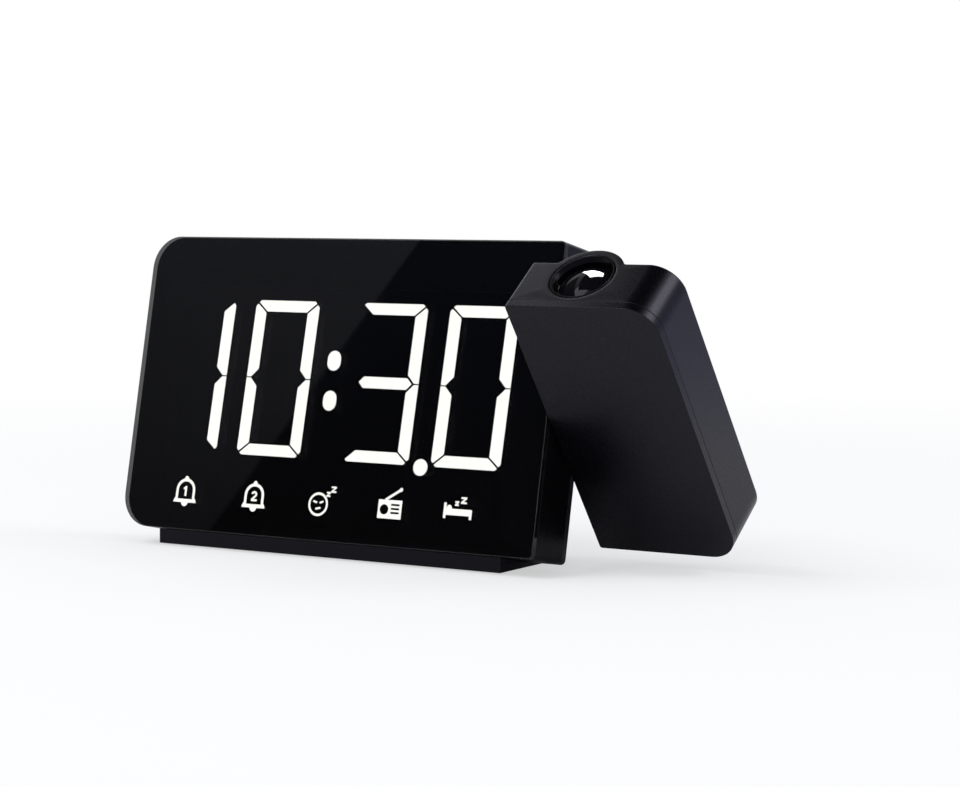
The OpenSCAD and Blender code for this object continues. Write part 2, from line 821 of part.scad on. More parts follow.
module power_inlet() {
  color([0.08, 0.08, 0.08]) in_body() {
    difference() {
      union() {
        power_nose(0);
        translate([0, jack_y, jack_z])
          block(-half_w + wall_t + seat, -half_w + wall_t + jack_l, -jack_w / 2, jack_w / 2,
                -jack_h / 2, jack_h / 2);
      }
      translate([0, jack_y, jack_z])
        rod_x(-half_w - cut, -half_w + wall_t + jack_l - 2, jack_bore_r);
    }
    translate([0, jack_y, jack_z])
      rod_x(-half_w + 1.5, -half_w + wall_t + jack_l - 1.5, jack_pin_r);
  }
}

module usb_mouth(grow) {
  block(-half_w - cut, -half_w + wall_t + cut, usb_y - grow, usb_y + usb_t + grow,
        usb_z - usb_w / 2 - grow, usb_z + usb_w / 2 + grow);
}

module usb_socket() {
  shell_t = 0.4;
  tongue_t = 1.8;
  color([0.7, 0.7, 0.72]) in_body() translate([-half_w, usb_y, usb_z - usb_w / 2]) {
    difference() {
      translate([0.2, 0, 0]) cube([usb_l, usb_t - seat, usb_w]);
      translate([-cut, shell_t, shell_t])
        cube([usb_l - 1, usb_t - seat - 2 * shell_t, usb_w - 2 * shell_t]);
    }
    translate([1.5, shell_t, 1]) cube([usb_l - 2, tongue_t, usb_w - 2]);
  }
}

// ---------- foot ----------

// The slab's own space, with a seat round it
module slab_room() {
  in_body() block(-body_w, body_w, front_y - seat, back_y + seat, -half_h - seat, body_h);
}

module foot_profile() {
  polygon([[foot_y0, foot_clear], [foot_y1, foot_clear], [foot_y1, heel_rear_h],
           [foot_y1 - 3, heel_rear_h + 1.4], [slab_y, heel_h + 1], [foot_y0, heel_h + 1]]);
}

// What the foot's round rear corners take away
module foot_corner_waste() {
  for (s = [-1, 1]) translate([body_cx + s * (foot_w / 2 - foot_corner_r),
                               foot_y1 - foot_corner_r, -cut]) difference() {
    translate([s > 0 ? 0 : -foot_corner_r - cut, 0, 0])
      cube([foot_corner_r + cut, foot_corner_r + cut, body_h]);
    translate([0, 0, -cut]) cylinder(h = body_h + 2 * cut, r = foot_corner_r);
  }
}

module door_track(grow) {
  translate([body_cx, 0, 0]) {
    block(-door_w / 2 - grow, door_w / 2 + grow, door_y0 - grow,
          foot_y1 + cut * sign(grow), foot_clear + 0.5 - grow, foot_clear + door_t + grow);
    block(-door_w / 2 + door_lip - grow, door_w / 2 - door_lip + grow,
          door_y0 - grow, foot_y1 + cut * sign(grow),
          foot_clear - cut * sign(grow), foot_clear + door_t);
  }
}

pad_place = [for (sx = [-1, 1], y = [foot_y0 + pad_inset, foot_y1 - pad_inset])
             [body_cx + sx * (foot_w / 2 - pad_inset), y]];

module foot_base() {
  color([0.13, 0.13, 0.14]) difference() {
    translate([body_cx - foot_w / 2, 0, 0]) rotate([90, 0, 90]) linear_extrude(foot_w)
      foot_profile();
    foot_corner_waste();
    slab_room();
    for (p = pad_place) translate([p.x, p.y, -cut])
      cylinder(h = cut + pad_t + seat, r = pad_r + seat);
    door_track(slide_clear);
    translate([body_cx, bay_y, foot_clear]) cylinder(h = bay_z + cell_t, r = cell_r + 0.3);
    in_body() for (s = [-1, 1]) translate([s * foot_screw_x, 0, foot_screw_z])
      rod_y(back_y - cut, case_back_y + foot_screw_l + cut, screw_r + seat);
  }
}

module foot_screws() {
  color([0.6, 0.6, 0.62]) in_body() for (s = [-1, 1])
    translate([s * foot_screw_x, 0, foot_screw_z]) screw_y(case_back_y - seat, foot_screw_l);
}

module rubber_pads() {
  color([0.06, 0.06, 0.06]) for (p = pad_place) translate([p.x, p.y, 0])
    cylinder(h = pad_t, r = pad_r);
}

module coin_cell() {
  color([0.75, 0.75, 0.76]) translate([body_cx, bay_y, bay_z])
    cylinder(h = cell_t - contact_t, r = cell_r);
}

module battery_contacts() {
  color([0.8, 0.65, 0.3]) translate([body_cx, bay_y, 0]) {
    translate([0, 0, bay_z + cell_t - contact_t + 0.02]) cylinder(h = contact_t, r = 4);
    translate([0, 0, bay_z - 0.35]) cylinder(h = contact_t, r = 6);
  }
}

module battery_door() {
  color([0.13, 0.13, 0.14]) difference() {
    door_track(0);
    for (i = [0:3]) translate([body_cx, foot_y1 - 3 - i * 1.6, foot_clear])
      cube([10, 0.7, 0.6], center = true);
  }
}

// ---------- pivot ----------

module pivot_bush() {
  color([0.85, 0.83, 0.75]) in_body() on_pivot() difference() {
    union() {
      rod_x(half_w - bush_l, half_w, bush_r);
      rod_x(half_w - bush_l - flange_t, half_w - bush_l, bush_flange_r);
    }
    rod_x(0, body_w, tube_r + pivot_clear);
  }
}

module friction_washer() {
  color([0.7, 0.7, 0.72]) in_body() on_pivot() difference() {
    rod_x(washer_x + seat, washer_x + washer_t - seat, bush_flange_r);
    rod_x(0, body_w, tube_r + pivot_clear);
  }
}

module cable_socket() {
  color([0.9, 0.9, 0.86]) in_body()
    block(socket_x, socket_x + socket_w, reflector_back_y + 0.1, main_y, -socket_h / 2,
          socket_h / 2);
}

wire_place = concat([[0, 0]],
                    [for (i = [0:5]) wire_ring * [cos(i * 60), sin(i * 60)]]);
arm_face_x = half_w + arm_gap;
cable_x1 = arm_face_x + arm_wall_t + flange_plate_t + cable_end;

module pivot_cable() {
  color([0.7, 0.15, 0.12]) in_body() on_pivot() for (p = wire_place) translate([0, p.x, p.y])
    rod_x(socket_x + socket_w, cable_x1, wire_r);
}

// Shift from the slab's middle to the arm's middle, along X
to_arm = half_w + arm_gap + arm_half_w;

module pivot_tube() {
  flange_x = -arm_half_w + arm_wall_t;
  color([0.75, 0.75, 0.77]) in_arm() on_pivot() difference() {
    union() {
      rod_x(tube_x - to_arm, flange_x + seat, tube_r);
      block(flange_x, flange_x + flange_plate_t, -flange_w / 2, flange_w / 2, -flange_h / 2,
            flange_h / 2);
    }
    rod_x(-body_w, flange_x + flange_plate_t + cut, tube_bore_r);
    difference() {
      rod_x(clip_x - to_arm, clip_x + clip_t - to_arm, tube_r + cut);
      rod_x(clip_x - to_arm - cut, clip_x + clip_t - to_arm + cut, tube_r - clip_groove);
    }
    for (s = [-1, 1]) translate([0, 0, s * flange_screw_z])
      rod_x(-arm_w, arm_w, screw_r + seat);
  }
}

module pivot_clip() {
  color([0.3, 0.3, 0.32]) in_arm() on_pivot() difference() {
    rod_x(clip_x - to_arm + seat, clip_x + clip_t - to_arm - seat, clip_r);
    rod_x(-body_w, body_w, tube_r - clip_groove + seat);
    block(-body_w, body_w, -1.6, 1.6, -body_h, 0);
  }
}

module pivot_screws() {
  flange_x = -arm_half_w + arm_wall_t + flange_plate_t;
  color([0.6, 0.6, 0.62]) in_arm() on_pivot() for (s = [-1, 1])
   translate([0, 0, s * flange_screw_z]) {
    rod_x(flange_x, flange_x + screw_head_t, screw_head_r);
    rod_x(-arm_half_w + 0.6, flange_x + seat, screw_r);
  }
}

// ---------- arm ----------

module lens_axis() {
  translate([axis_x, axis_y, 0]) children();
}

module arm_shell() {
  color([0.13, 0.13, 0.15]) in_arm() difference() {
    union() {
      difference() {
        union() {
          plate(arm_shell_y, back_y - arm_shell_y) arm_outline();
          lens_axis() {
            translate([0, 0, dome_z]) cylinder(h = half_h - dome_z, r = boss_r);
            translate([0, 0, dome_z]) sphere(boss_r);
          }
        }
        block(-arm_w, arm_w, -body_d * 2, arm_shell_y, -body_h, body_h);
        plate(arm_shell_y - cut, back_y - arm_shell_y - arm_wall_t + cut)
          arm_outline(arm_wall_t);
      }
      intersection() {
        lens_axis() translate([0, 0, bore_z - housing_floor])
          cylinder(h = half_h - bore_z, r = housing_r);
        block(-arm_half_w + 1, arm_half_w - 1, arm_shell_y, body_d, -half_h, half_h);
      }
      for (p = arm_post) translate([p.x, 0, p.y])
        rod_y(pcb_y + board_t, back_y - arm_wall_t / 2, 2.6);
      for (p = corner_post) translate([p.x, 0, p.y])
        rod_y(arm_shell_y, back_y - arm_wall_t / 2, corner_post_r);
    }
    lens_axis() translate([0, 0, bore_z]) cylinder(h = boss_l, r = ring_bore_r);
    on_pivot() {
      rod_x(-arm_w, -arm_half_w + arm_wall_t + cut, tube_r + pivot_clear);
      for (s = [-1, 1]) translate([0, 0, s * flange_screw_z])
        rod_x(-arm_half_w + 0.5, -arm_half_w + arm_wall_t + cut, screw_r + seat);
    }
    for (p = arm_post) translate([p.x, 0, p.y]) rod_y(0, back_y - 1, screw_r + seat);
    for (p = corner_post) translate([p.x, 0, p.y]) {
      rod_y(arm_shell_y - cut, back_y + cut, screw_r + slide_clear);
      rod_y(back_y - screw_head_t - head_sink, back_y + cut, screw_head_r + slide_clear);
    }
  }
}

module arm_cover() {
  color([0.15, 0.15, 0.17]) in_arm() difference() {
    union() {
      plate(front_y, arm_cover_t - groove) arm_outline();
      plate(front_y + arm_cover_t - groove - seat, groove) arm_outline(groove);
    }
    for (p = corner_post) translate([p.x, 0, p.y])
      rod_y(front_y + 0.9, arm_shell_y + cut, screw_r + seat);
  }
}

module arm_screws() {
  color([0.25, 0.25, 0.27]) in_arm() {
    for (p = corner_post) translate([p.x, 0, p.y]) mirror([0, 1, 0])
      screw_y(-back_y + screw_head_t + head_sink, body_d - screw_head_t - 1.2);
    for (p = arm_post) translate([p.x, 0, p.y]) screw_y(pcb_y - seat, board_t + 2);
  }
}

module lens_sleeve() {
  color([0.1, 0.1, 0.1]) in_arm() lens_axis() rotate_extrude() polygon([
    [shelf_r, sleeve_z], [sleeve_r, sleeve_z], [sleeve_r, sleeve_top_z],
    [cell_bore_r, sleeve_top_z], [cell_bore_r, slide_z + slide_frame_t + 1],
    [optic_r + seat, slide_z + slide_frame_t + 1], [optic_r + seat, condenser_z],
    [shelf_r, condenser_z]]);
}

// Points of a lens face from its axis to its rim, sag high above z
lens_steps = 10;
function arc_points(r, sag, z, steps) =
  [for (i = [0:steps]) let(x = r * i / steps) [x, z + sag * (1 - pow(x / r, 2))]];

module condenser_lens() {
  top = arc_points(optic_r, condenser_sag, condenser_z + condenser_rim, lens_steps);
  color([0.8, 0.88, 0.9, 0.6]) in_arm() lens_axis() rotate_extrude() polygon(concat(
    [[0, condenser_z], [optic_r, condenser_z]], [for (i = [0:lens_steps]) top[lens_steps - i]]));
}

module spacer_ring() {
  color([0.12, 0.12, 0.12]) in_arm() lens_axis() translate([0, 0, spacer_foot_z]) difference() {
    cylinder(h = spacer_z + spacer_h - seat - spacer_foot_z, r = optic_r);
    translate([0, 0, -cut]) cylinder(h = condenser_t + spacer_h + cut, r = optic_r - spacer_wall);
  }
}

module slide_frame() {
  color([0.12, 0.12, 0.12]) in_arm() lens_axis() difference() {
    translate([0, 0, slide_z]) cylinder(h = slide_frame_t, r = optic_r);
    translate([-slide_w / 2 + 1, -slide_w / 2 + 1, slide_z - cut])
      cube([slide_w - 2, slide_w - 2, slide_frame_t + 2 * cut]);
    translate([-slide_w / 2 - seat, -slide_w / 2 - seat, slide_z + 0.8])
      cube([slide_w + 2 * seat, slide_w + 2 * seat, slide_frame_t]);
  }
}

module projection_slide() {
  color([0.2, 0.25, 0.3]) in_arm() lens_axis()
    translate([-slide_w / 2, -slide_w / 2, slide_z + 0.8 + 0.02])
      cube([slide_w, slide_w, slide_t]);
}

module projection_led() {
  color([0.95, 0.95, 0.85]) in_arm() lens_axis() {
    translate([0, 0, sleeve_z]) cylinder(h = led_board_t, r = shelf_r - slide_clear);
    translate([0, 0, sleeve_z + led_board_t / 2]) cylinder(h = 1.6, r = 2.4);
    translate([0, 0, sleeve_z + led_board_t / 2 + 1.6]) sphere(1.9);
  }
}

module heat_sink() {
  color([0.75, 0.75, 0.77]) in_arm() lens_axis() difference() {
    translate([0, 0, sleeve_z - sink_t]) cylinder(h = sink_t - 0.02, r = shelf_r);
    for (i = [-2:2]) translate([i * 2.6 - 0.6, -optic_r * 2, sleeve_z - sink_t - cut])
      cube([1.2, optic_r * 4, sink_t - 1 + cut]);
  }
}

module projector_board() {
  color([0.05, 0.3, 0.15]) in_arm() difference() {
    block(-pcb_x, pcb_x, pcb_y, pcb_y + board_t, pcb_z0, pcb_z1);
    for (p = arm_post) translate([p.x, 0, p.y]) rod_y(pcb_y - cut, pcb_y + 3, screw_r + seat);
  }
}

module projector_socket() {
  socket_x0 = cable_x1 - to_arm + 0.3;
  reach = 2.4;
  color([0.9, 0.9, 0.86]) in_arm()
    block(socket_x0, socket_x0 + socket_w, pivot_set - reach, pcb_y, -reach, reach);
}

// ---------- focus ----------

module focus_ring() {
  color([0.05, 0.05, 0.05]) in_arm() lens_axis() rotate_extrude() polygon([
    [cell_bore_r, ring_z], [ring_r, ring_z], [ring_r, half_h - 0.4], [ring_r - 0.4, half_h],
    [cell_bore_r + 0.7, half_h], [cell_bore_r, half_h - 1]]);
}

module lens_cell() {
  seat_z = cell_top_z - 1 - objective_t;
  color([0.07, 0.07, 0.07]) in_arm() lens_axis() rotate_extrude() polygon([
    [objective_r - 1, cell_top_z - cell_l], [lens_cell_r, cell_top_z - cell_l],
    [lens_cell_r, cell_top_z], [objective_r + 0.9, cell_top_z], [objective_r + seat, cell_top_z - 1],
    [objective_r + seat, seat_z], [objective_r - 1, seat_z]]);
}

module objective_lens() {
  sag = 1.2;
  seat_z = cell_top_z - 1 - objective_t + 0.02;
  top = arc_points(objective_r, sag, seat_z + objective_t - sag, lens_steps);
  color([0.75, 0.85, 0.95, 0.5]) in_arm() lens_axis() rotate_extrude() polygon(concat(
    [[0, seat_z], [objective_r, seat_z]], [for (i = [0:lens_steps]) top[lens_steps - i]]));
}

// ---------- keys ----------

module key_cap(x, w, stems) {
  color([0.1, 0.1, 0.11]) in_body() translate([x, key_y, 0]) {
    block(-w / 2, w / 2, -key_d / 2, key_d / 2, key_flange_z - key_flange_t, key_top_z);
    block(-w / 2 - key_flange_w, w / 2 + key_flange_w, -key_d / 2 - key_flange_w,
          key_d / 2 + key_flange_w, key_flange_z - key_flange_t, key_flange_z);
    for (s = stems)
      block(s - 1.5, s + 1.5, -1.5, 1.5, key_stem_z, key_flange_z - key_flange_t + seat);
  }
}

module snooze_bar() {
  key_cap(0, snooze_l, [-snooze_switch_x, snooze_switch_x]);
}

module key_time() { key_cap(key_x[0], key_w, [0]); }
module key_alarm_one() { key_cap(key_x[1], key_w, [0]); }
module key_alarm_two() { key_cap(key_x[2], key_w, [0]); }
module key_radio() { key_cap(key_x[3], key_w, [0]); }
module key_down() { key_cap(key_x[4], key_w, [0]); }
module key_up() { key_cap(key_x[5], key_w, [0]); }

display_window();
front_case();
rear_cover();
segment_reflector();
lit_segments();
dark_segments();
status_signs();
segment_leds();
display_board();
board_spacers();
main_board();
main_chips();
key_board();
tact_switches();
speaker_basket();
speaker_cone();
speaker_magnet();
port_board();
power_inlet();
usb_socket();
case_screws();
foot_base();
foot_screws();
rubber_pads();
coin_cell();
battery_contacts();
battery_door();
pivot_bush();
friction_washer();
cable_socket();
pivot_cable();
pivot_tube();
pivot_clip();
pivot_screws();
arm_shell();
arm_cover();
arm_screws();
lens_sleeve();
condenser_lens();
spacer_ring();
slide_frame();
projection_slide();
projection_led();
heat_sink();
projector_board();
projector_socket();
focus_ring();
lens_cell();
objective_lens();
snooze_bar();
key_time();
key_alarm_one();
key_alarm_two();
key_radio();
key_down();
key_up();
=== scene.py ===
import json
import math

import bmesh
import bpy
import numpy as np
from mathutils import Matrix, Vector


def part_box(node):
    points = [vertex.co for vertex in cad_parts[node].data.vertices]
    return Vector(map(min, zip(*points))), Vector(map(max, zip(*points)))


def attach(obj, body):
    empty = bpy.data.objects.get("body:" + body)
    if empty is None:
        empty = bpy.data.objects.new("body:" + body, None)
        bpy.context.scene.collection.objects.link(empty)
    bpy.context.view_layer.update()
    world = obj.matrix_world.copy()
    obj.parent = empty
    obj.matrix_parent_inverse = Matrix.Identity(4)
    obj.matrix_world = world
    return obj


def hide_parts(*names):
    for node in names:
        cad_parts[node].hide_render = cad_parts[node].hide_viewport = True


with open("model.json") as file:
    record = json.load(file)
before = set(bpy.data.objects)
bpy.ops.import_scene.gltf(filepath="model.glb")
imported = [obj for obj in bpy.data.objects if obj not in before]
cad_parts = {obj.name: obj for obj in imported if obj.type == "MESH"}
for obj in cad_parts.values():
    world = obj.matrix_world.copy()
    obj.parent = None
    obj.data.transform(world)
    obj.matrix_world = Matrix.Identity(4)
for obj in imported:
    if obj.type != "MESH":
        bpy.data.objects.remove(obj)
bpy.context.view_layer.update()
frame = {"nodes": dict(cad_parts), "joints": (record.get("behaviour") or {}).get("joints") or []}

# ---------- camera ----------
# The view of the photograph: from the right of the clock and a little above it, with a
# long lens. The place was fitted to the corners of the slab, the arm and the foot.
image_w, image_h = 960, 787
focal_px = 2600
sensor_w = 36
view_azimuth = math.radians(31.97)
view_drop = math.radians(4.38)
camera_place = Vector((0.42686, -0.64793, 0.10905))

scene = bpy.context.scene
camera = bpy.data.objects.new("camera", bpy.data.cameras.new("camera"))
scene.collection.objects.link(camera)
camera.data.sensor_width = sensor_w
camera.data.lens = focal_px * sensor_w / image_w
camera.data.clip_start = 0.01
camera.location = camera_place
camera.rotation_euler = (math.pi / 2 - view_drop, 0, view_azimuth)
scene.camera = camera
scene.view_settings.view_transform = "Standard"

# ---------- studio ----------
# A white table in a white room, lit by two soft lamps. The table keeps the clock's shadow.
room_colour = (0.97, 0.98, 1)
room_strength = 0.55
table_size = 12.0
table_colour = (0.80, 0.8024, 0.816)
# Near the clock the camera sees this paint and glow instead. Between these distances from
# the middle of the table both turn plain white.
seen_grey = (0.45, 0.455, 0.465)
seen_glow = (0.55, 0.552, 0.556)
fade_from, fade_to = 0.16, 0.75


def node_tree(material):
    """The material's nodes and links, emptied, with a surface output."""
    material.use_nodes = True
    tree = material.node_tree
    tree.nodes.clear()
    output = tree.nodes.new("ShaderNodeOutputMaterial")
    return tree, output


def seen_by(tree):
    """1 for rays from the camera, off a gloss or through a clear piece, else 0."""
    path = tree.nodes.new("ShaderNodeLightPath")
    value = path.outputs["Is Camera Ray"]
    for other in ("Is Glossy Ray", "Is Transmission Ray"):
        either = tree.nodes.new("ShaderNodeMath")
        either.operation = "MAXIMUM"
        tree.links.new(value, either.inputs[0])
        tree.links.new(path.outputs[other], either.inputs[1])
        value = either.outputs[0]
    return value


world = bpy.data.worlds.new("room")
scene.world = world
world.use_nodes = True
room = world.node_tree
room.nodes.clear()
room_out = room.nodes.new("ShaderNodeOutputWorld")
room_seen = room.nodes.new("ShaderNodeBackground")
room_seen.inputs["Color"].default_value = (1, 1, 1, 1)
room_seen.inputs["Strength"].default_value = 1
room_light = room.nodes.new("ShaderNodeBackground")
room_light.inputs["Color"].default_value = (*room_colour, 1)
room_light.inputs["Strength"].default_value = room_strength
room_mix = room.nodes.new("ShaderNodeMixShader")
room.links.new(seen_by(room), room_mix.inputs[0])
room.links.new(room_light.outputs[0], room_mix.inputs[1])
room.links.new(room_seen.outputs[0], room_mix.inputs[2])
room.links.new(room_mix.outputs[0], room_out.inputs["Surface"])

table_mesh = bpy.data.meshes.new("table")
table_half = table_size / 2
table_mesh.from_pydata([(-table_half, -table_half, 0), (table_half, -table_half, 0),
                        (table_half, table_half, 0), (-table_half, table_half, 0)],
                       [], [(0, 1, 2, 3)])
table = bpy.data.objects.new("table", table_mesh)
scene.collection.objects.link(table)
table_paint = bpy.data.materials.new("table_paint")
tree, output = node_tree(table_paint)
paint = tree.nodes.new("ShaderNodeBsdfDiffuse")
paint.inputs["Color"].default_value = (*table_colour, 1)
# What the camera sees near the clock, and what it and every gloss see further away
seen_paint = tree.nodes.new("ShaderNodeBsdfDiffuse")
seen_paint.inputs["Color"].default_value = (*seen_grey, 1)
seen_lift = tree.nodes.new("ShaderNodeEmission")
seen_lift.inputs["Color"].default_value = (*seen_glow, 1)
seen_lift.inputs["Strength"].default_value = 1
seen_near = tree.nodes.new("ShaderNodeAddShader")
tree.links.new(seen_paint.outputs[0], seen_near.inputs[0])
tree.links.new(seen_lift.outputs[0], seen_near.inputs[1])
plain_white = tree.nodes.new("ShaderNodeEmission")
plain_white.inputs["Color"].default_value = (1, 1, 1, 1)
plain_white.inputs["Strength"].default_value = 1
spot = tree.nodes.new("ShaderNodeTexCoord")
away = tree.nodes.new("ShaderNodeVectorMath")
away.operation = "LENGTH"
tree.links.new(spot.outputs["Object"], away.inputs[0])
fade = tree.nodes.new("ShaderNodeMapRange")
fade.interpolation_type = "SMOOTHSTEP"
fade.inputs["From Min"].default_value = fade_from
fade.inputs["From Max"].default_value = fade_to
tree.links.new(away.outputs["Value"], fade.inputs["Value"])
near = tree.nodes.new("ShaderNodeMixShader")
tree.links.new(tree.nodes.new("ShaderNodeLightPath").outputs["Is Camera Ray"], near.inputs[0])
tree.links.new(paint.outputs[0], near.inputs[1])
tree.links.new(seen_near.outputs[0], near.inputs[2])
seen = tree.nodes.new("ShaderNodeMixShader")
tree.links.new(fade.outputs["Result"], seen.inputs[0])
tree.links.new(near.outputs[0], seen.inputs[1])
tree.links.new(plain_white.outputs[0], seen.inputs[2])
table_mix = tree.nodes.new("ShaderNodeMixShader")
tree.links.new(seen_by(tree), table_mix.inputs[0])
tree.links.new(paint.outputs[0], table_mix.inputs[1])
tree.links.new(seen.outputs[0], table_mix.inputs[2])
tree.links.new(table_mix.outputs[0], output.inputs["Surface"])
table_mesh.materials.append(table_paint)


def lamp(name, place, target, size, power):
    """A rectangular area lamp at place, turned towards target: its two sides in metres and
    its power in watts."""
    light = bpy.data.lights.new(name, "AREA")
    light.shape = "RECTANGLE"
    light.size, light.size_y = size
    light.energy = power
    thing = bpy.data.objects.new(name, light)
    scene.collection.objects.link(thing)
    thing.location = place
    thing.rotation_euler = (Vector(target) - Vector(place)).to_track_quat("-Z", "Y").to_euler()
    return thing


lamp("key_lamp", place=(-0.62, -0.85, 1.35), target=(0, 0, 0.03), size=(0.8, 0.8), power=11)
lamp("fill_lamp", place=(1.3, 0.5, 1.2), target=(0, 0, 0.05), size=(0.7, 0.7), power=6)

# ---------- slab window ----------
# A plate of smoked acrylic, polished in front, that covers the whole front of the slab.
# It is bonded to the case; the digits shine through it.
mm = 0.001
joint_of = {joint["name"]: joint for joint in frame["joints"]}
pivot = np.array(joint_of["arm_swing"]["pos_m"]) / mm
# The pivot lies this far behind the middle of the slab's depth, and of the arm's
pivot_set = 1.8


def node_middle_x(node):
    """The middle of a node's box along X, in metres."""
    low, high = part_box(node)
    return (low.x + high.x) / 2


def node_width(node):
    """The width of a node's box along X, in millimetres."""
    low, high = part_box(node)
    return (high.x - low.x) / mm


def lean(up):
    """The directions up and to the back of a part that leans, from an axis that points up it."""
    up = np.asarray(up, float) / np.linalg.norm(up)
    return up, np.array([0, up[2], -up[1]])


def part_middle(node, back):
    """The middle of a part's depth at the height of the pivot, half way across a node."""
    middle = pivot * mm - pivot_set * mm * back
    middle[0] = node_middle_x(node)
    return middle


def placed(points, middle, back, up):
    """Points given in millimetres across a part, behind its middle and up it, in the shared
    frame: the middle plus each measure along its direction."""
    points = np.asarray(points, float) * mm
    return (middle + points[..., 0:1] * np.array([1, 0, 0])
            + points[..., 1:2] * back + points[..., 2:3] * up)


slab_up, slab_back = lean(-np.array(joint_of["snooze_bar_press"]["axis"]))
slab_middle = part_middle("display_window", slab_back)


def in_slab(points):
    """Points across the slab, behind its middle and up it, in the shared frame."""
    return placed(points, slab_middle, slab_back, slab_up)


def rounded_outline(w, h, r_left, r_right, steps=12):
    """A rectangle w by h round its middle with corners of two radii, as points along X and Z
    and the outward direction at each: every corner is a quarter of a circle."""
    points, outward = [], []
    for sx, sz, r, start in ((1, 1, r_right, 0), (-1, 1, r_left, 90), (-1, -1, r_left, 180),
                             (1, -1, r_right, 270)):
        angle = np.radians(start + np.linspace(0, 90, steps + 1))
        way = np.stack([np.cos(angle), np.sin(angle)], -1)
        points.append(np.array([sx * (w / 2 - r), sz * (h / 2 - r)]) + r * way)
        outward.append(way)
    return np.concatenate(points), np.concatenate(outward)


def rounding(r, near, far, steps=5, flat=0.08):
    """The profile of a plate's edge with both rims rounded by r, from the front face at near
    to the back face at far, as pairs of inset and depth. Each rim is a quarter circle, and a
    narrow flat ring inside it keeps the face's shading flat."""
    turn = np.linspace(0, np.pi / 2, steps + 1)
    front = np.stack([r * (1 - np.sin(turn)), near + r * (1 - np.cos(turn))], -1)
    back = np.stack([r * (1 - np.cos(turn)), far - r * (1 - np.sin(turn))], -1)
    return np.concatenate([[[r + flat, near]], front, back, [[r + flat, far]]])


def plate_rings(outline, outward, profile):
    """Rings of an outline drawn in by each inset of a profile, at its depth: shape (rings,
    points, 3), along X, Y and Z."""
    flat = outline[None] - outward[None] * profile[:, None, 0:1]
    depth = np.broadcast_to(profile[:, None, 1:2], flat.shape[:2] + (1,))
    return np.concatenate([flat[..., 0:1], depth, flat[..., 1:2]], -1)


def ring_faces(rings, points):
    """Four-sided faces between neighbouring closed rings."""
    index = np.arange(rings * points).reshape(rings, points)
    near, far = index[:-1], index[1:]
    return np.stack([near, np.roll(near, -1, 1), np.roll(far, -1, 1), far], -1).reshape(-1, 4)


def finish_mesh(piece, weld=2e-6, empty=1e-7, sharp=40):
    """Merge points closer than weld metres, drop edges shorter than empty, point the faces
    outwards and shade smooth, with edges over sharp degrees left crisp."""
    shape = bmesh.new()
    shape.from_mesh(piece.data)
    bmesh.ops.remove_doubles(shape, verts=shape.verts, dist=weld)
    bmesh.ops.dissolve_degenerate(shape, edges=shape.edges, dist=empty)
    bmesh.ops.recalc_face_normals(shape, faces=shape.faces)
    shape.to_mesh(piece.data)
    shape.free()
    piece.data.shade_smooth()
    piece.data.set_sharp_from_angle(angle=math.radians(sharp))


def add_piece(name, points, faces, body, slot, material, *replaced):
    """A mesh piece that rides on a body and stands for the nodes it replaces."""
    mesh = bpy.data.meshes.new(name)
    mesh.from_pydata(np.asarray(points).reshape(-1, 3).tolist(), [],
                     [list(map(int, face)) for face in faces])
    piece = bpy.data.objects.new(name, mesh)
    scene.collection.objects.link(piece)
    mesh.materials.append(material)
    finish_mesh(piece)
    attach(piece, body)
    if replaced:
        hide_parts(*replaced)
    return piece


def closed_rings(rings):
    """Faces between rings, with one face over the first ring and one over the last."""
    count, points = rings.shape[:2]
    faces = ring_faces(count, points).tolist()
    faces.append(list(range(points))[::-1])
    faces.append(list(range((count - 1) * points, count * points)))
    return faces


def noise(tree, scale, detail=3, rough=0.55):
    """Noise on the object's own coordinates; scale is in waves per metre."""
    place = tree.nodes.new("ShaderNodeTexCoord")
    pattern = tree.nodes.new("ShaderNodeTexNoise")
    pattern.inputs["Scale"].default_value = scale
    pattern.inputs["Detail"].default_value = detail
    pattern.inputs["Roughness"].default_value = rough
    tree.links.new(place.outputs["Object"], pattern.inputs["Vector"])
    return pattern.outputs["Fac"]


def ranged(tree, value, low, high, start=0.3, end=0.7):
    """A value between start and end spread over low to high."""
    spread = tree.nodes.new("ShaderNodeMapRange")
    spread.inputs["From Min"].default_value = start
    spread.inputs["From Max"].default_value = end
    spread.inputs["To Min"].default_value = low
    spread.inputs["To Max"].default_value = high
    tree.links.new(value, spread.inputs["Value"])
    return spread.outputs["Result"]


def blended(tree, value, first, second):
    """A colour between first and second, by value."""
    mix = tree.nodes.new("ShaderNodeMix")
    mix.data_type = "RGBA"
    mix.inputs["A"].default_value = (*first, 1)
    mix.inputs["B"].default_value = (*second, 1)
    tree.links.new(value, mix.inputs["Factor"])
    return mix.outputs["Result"]


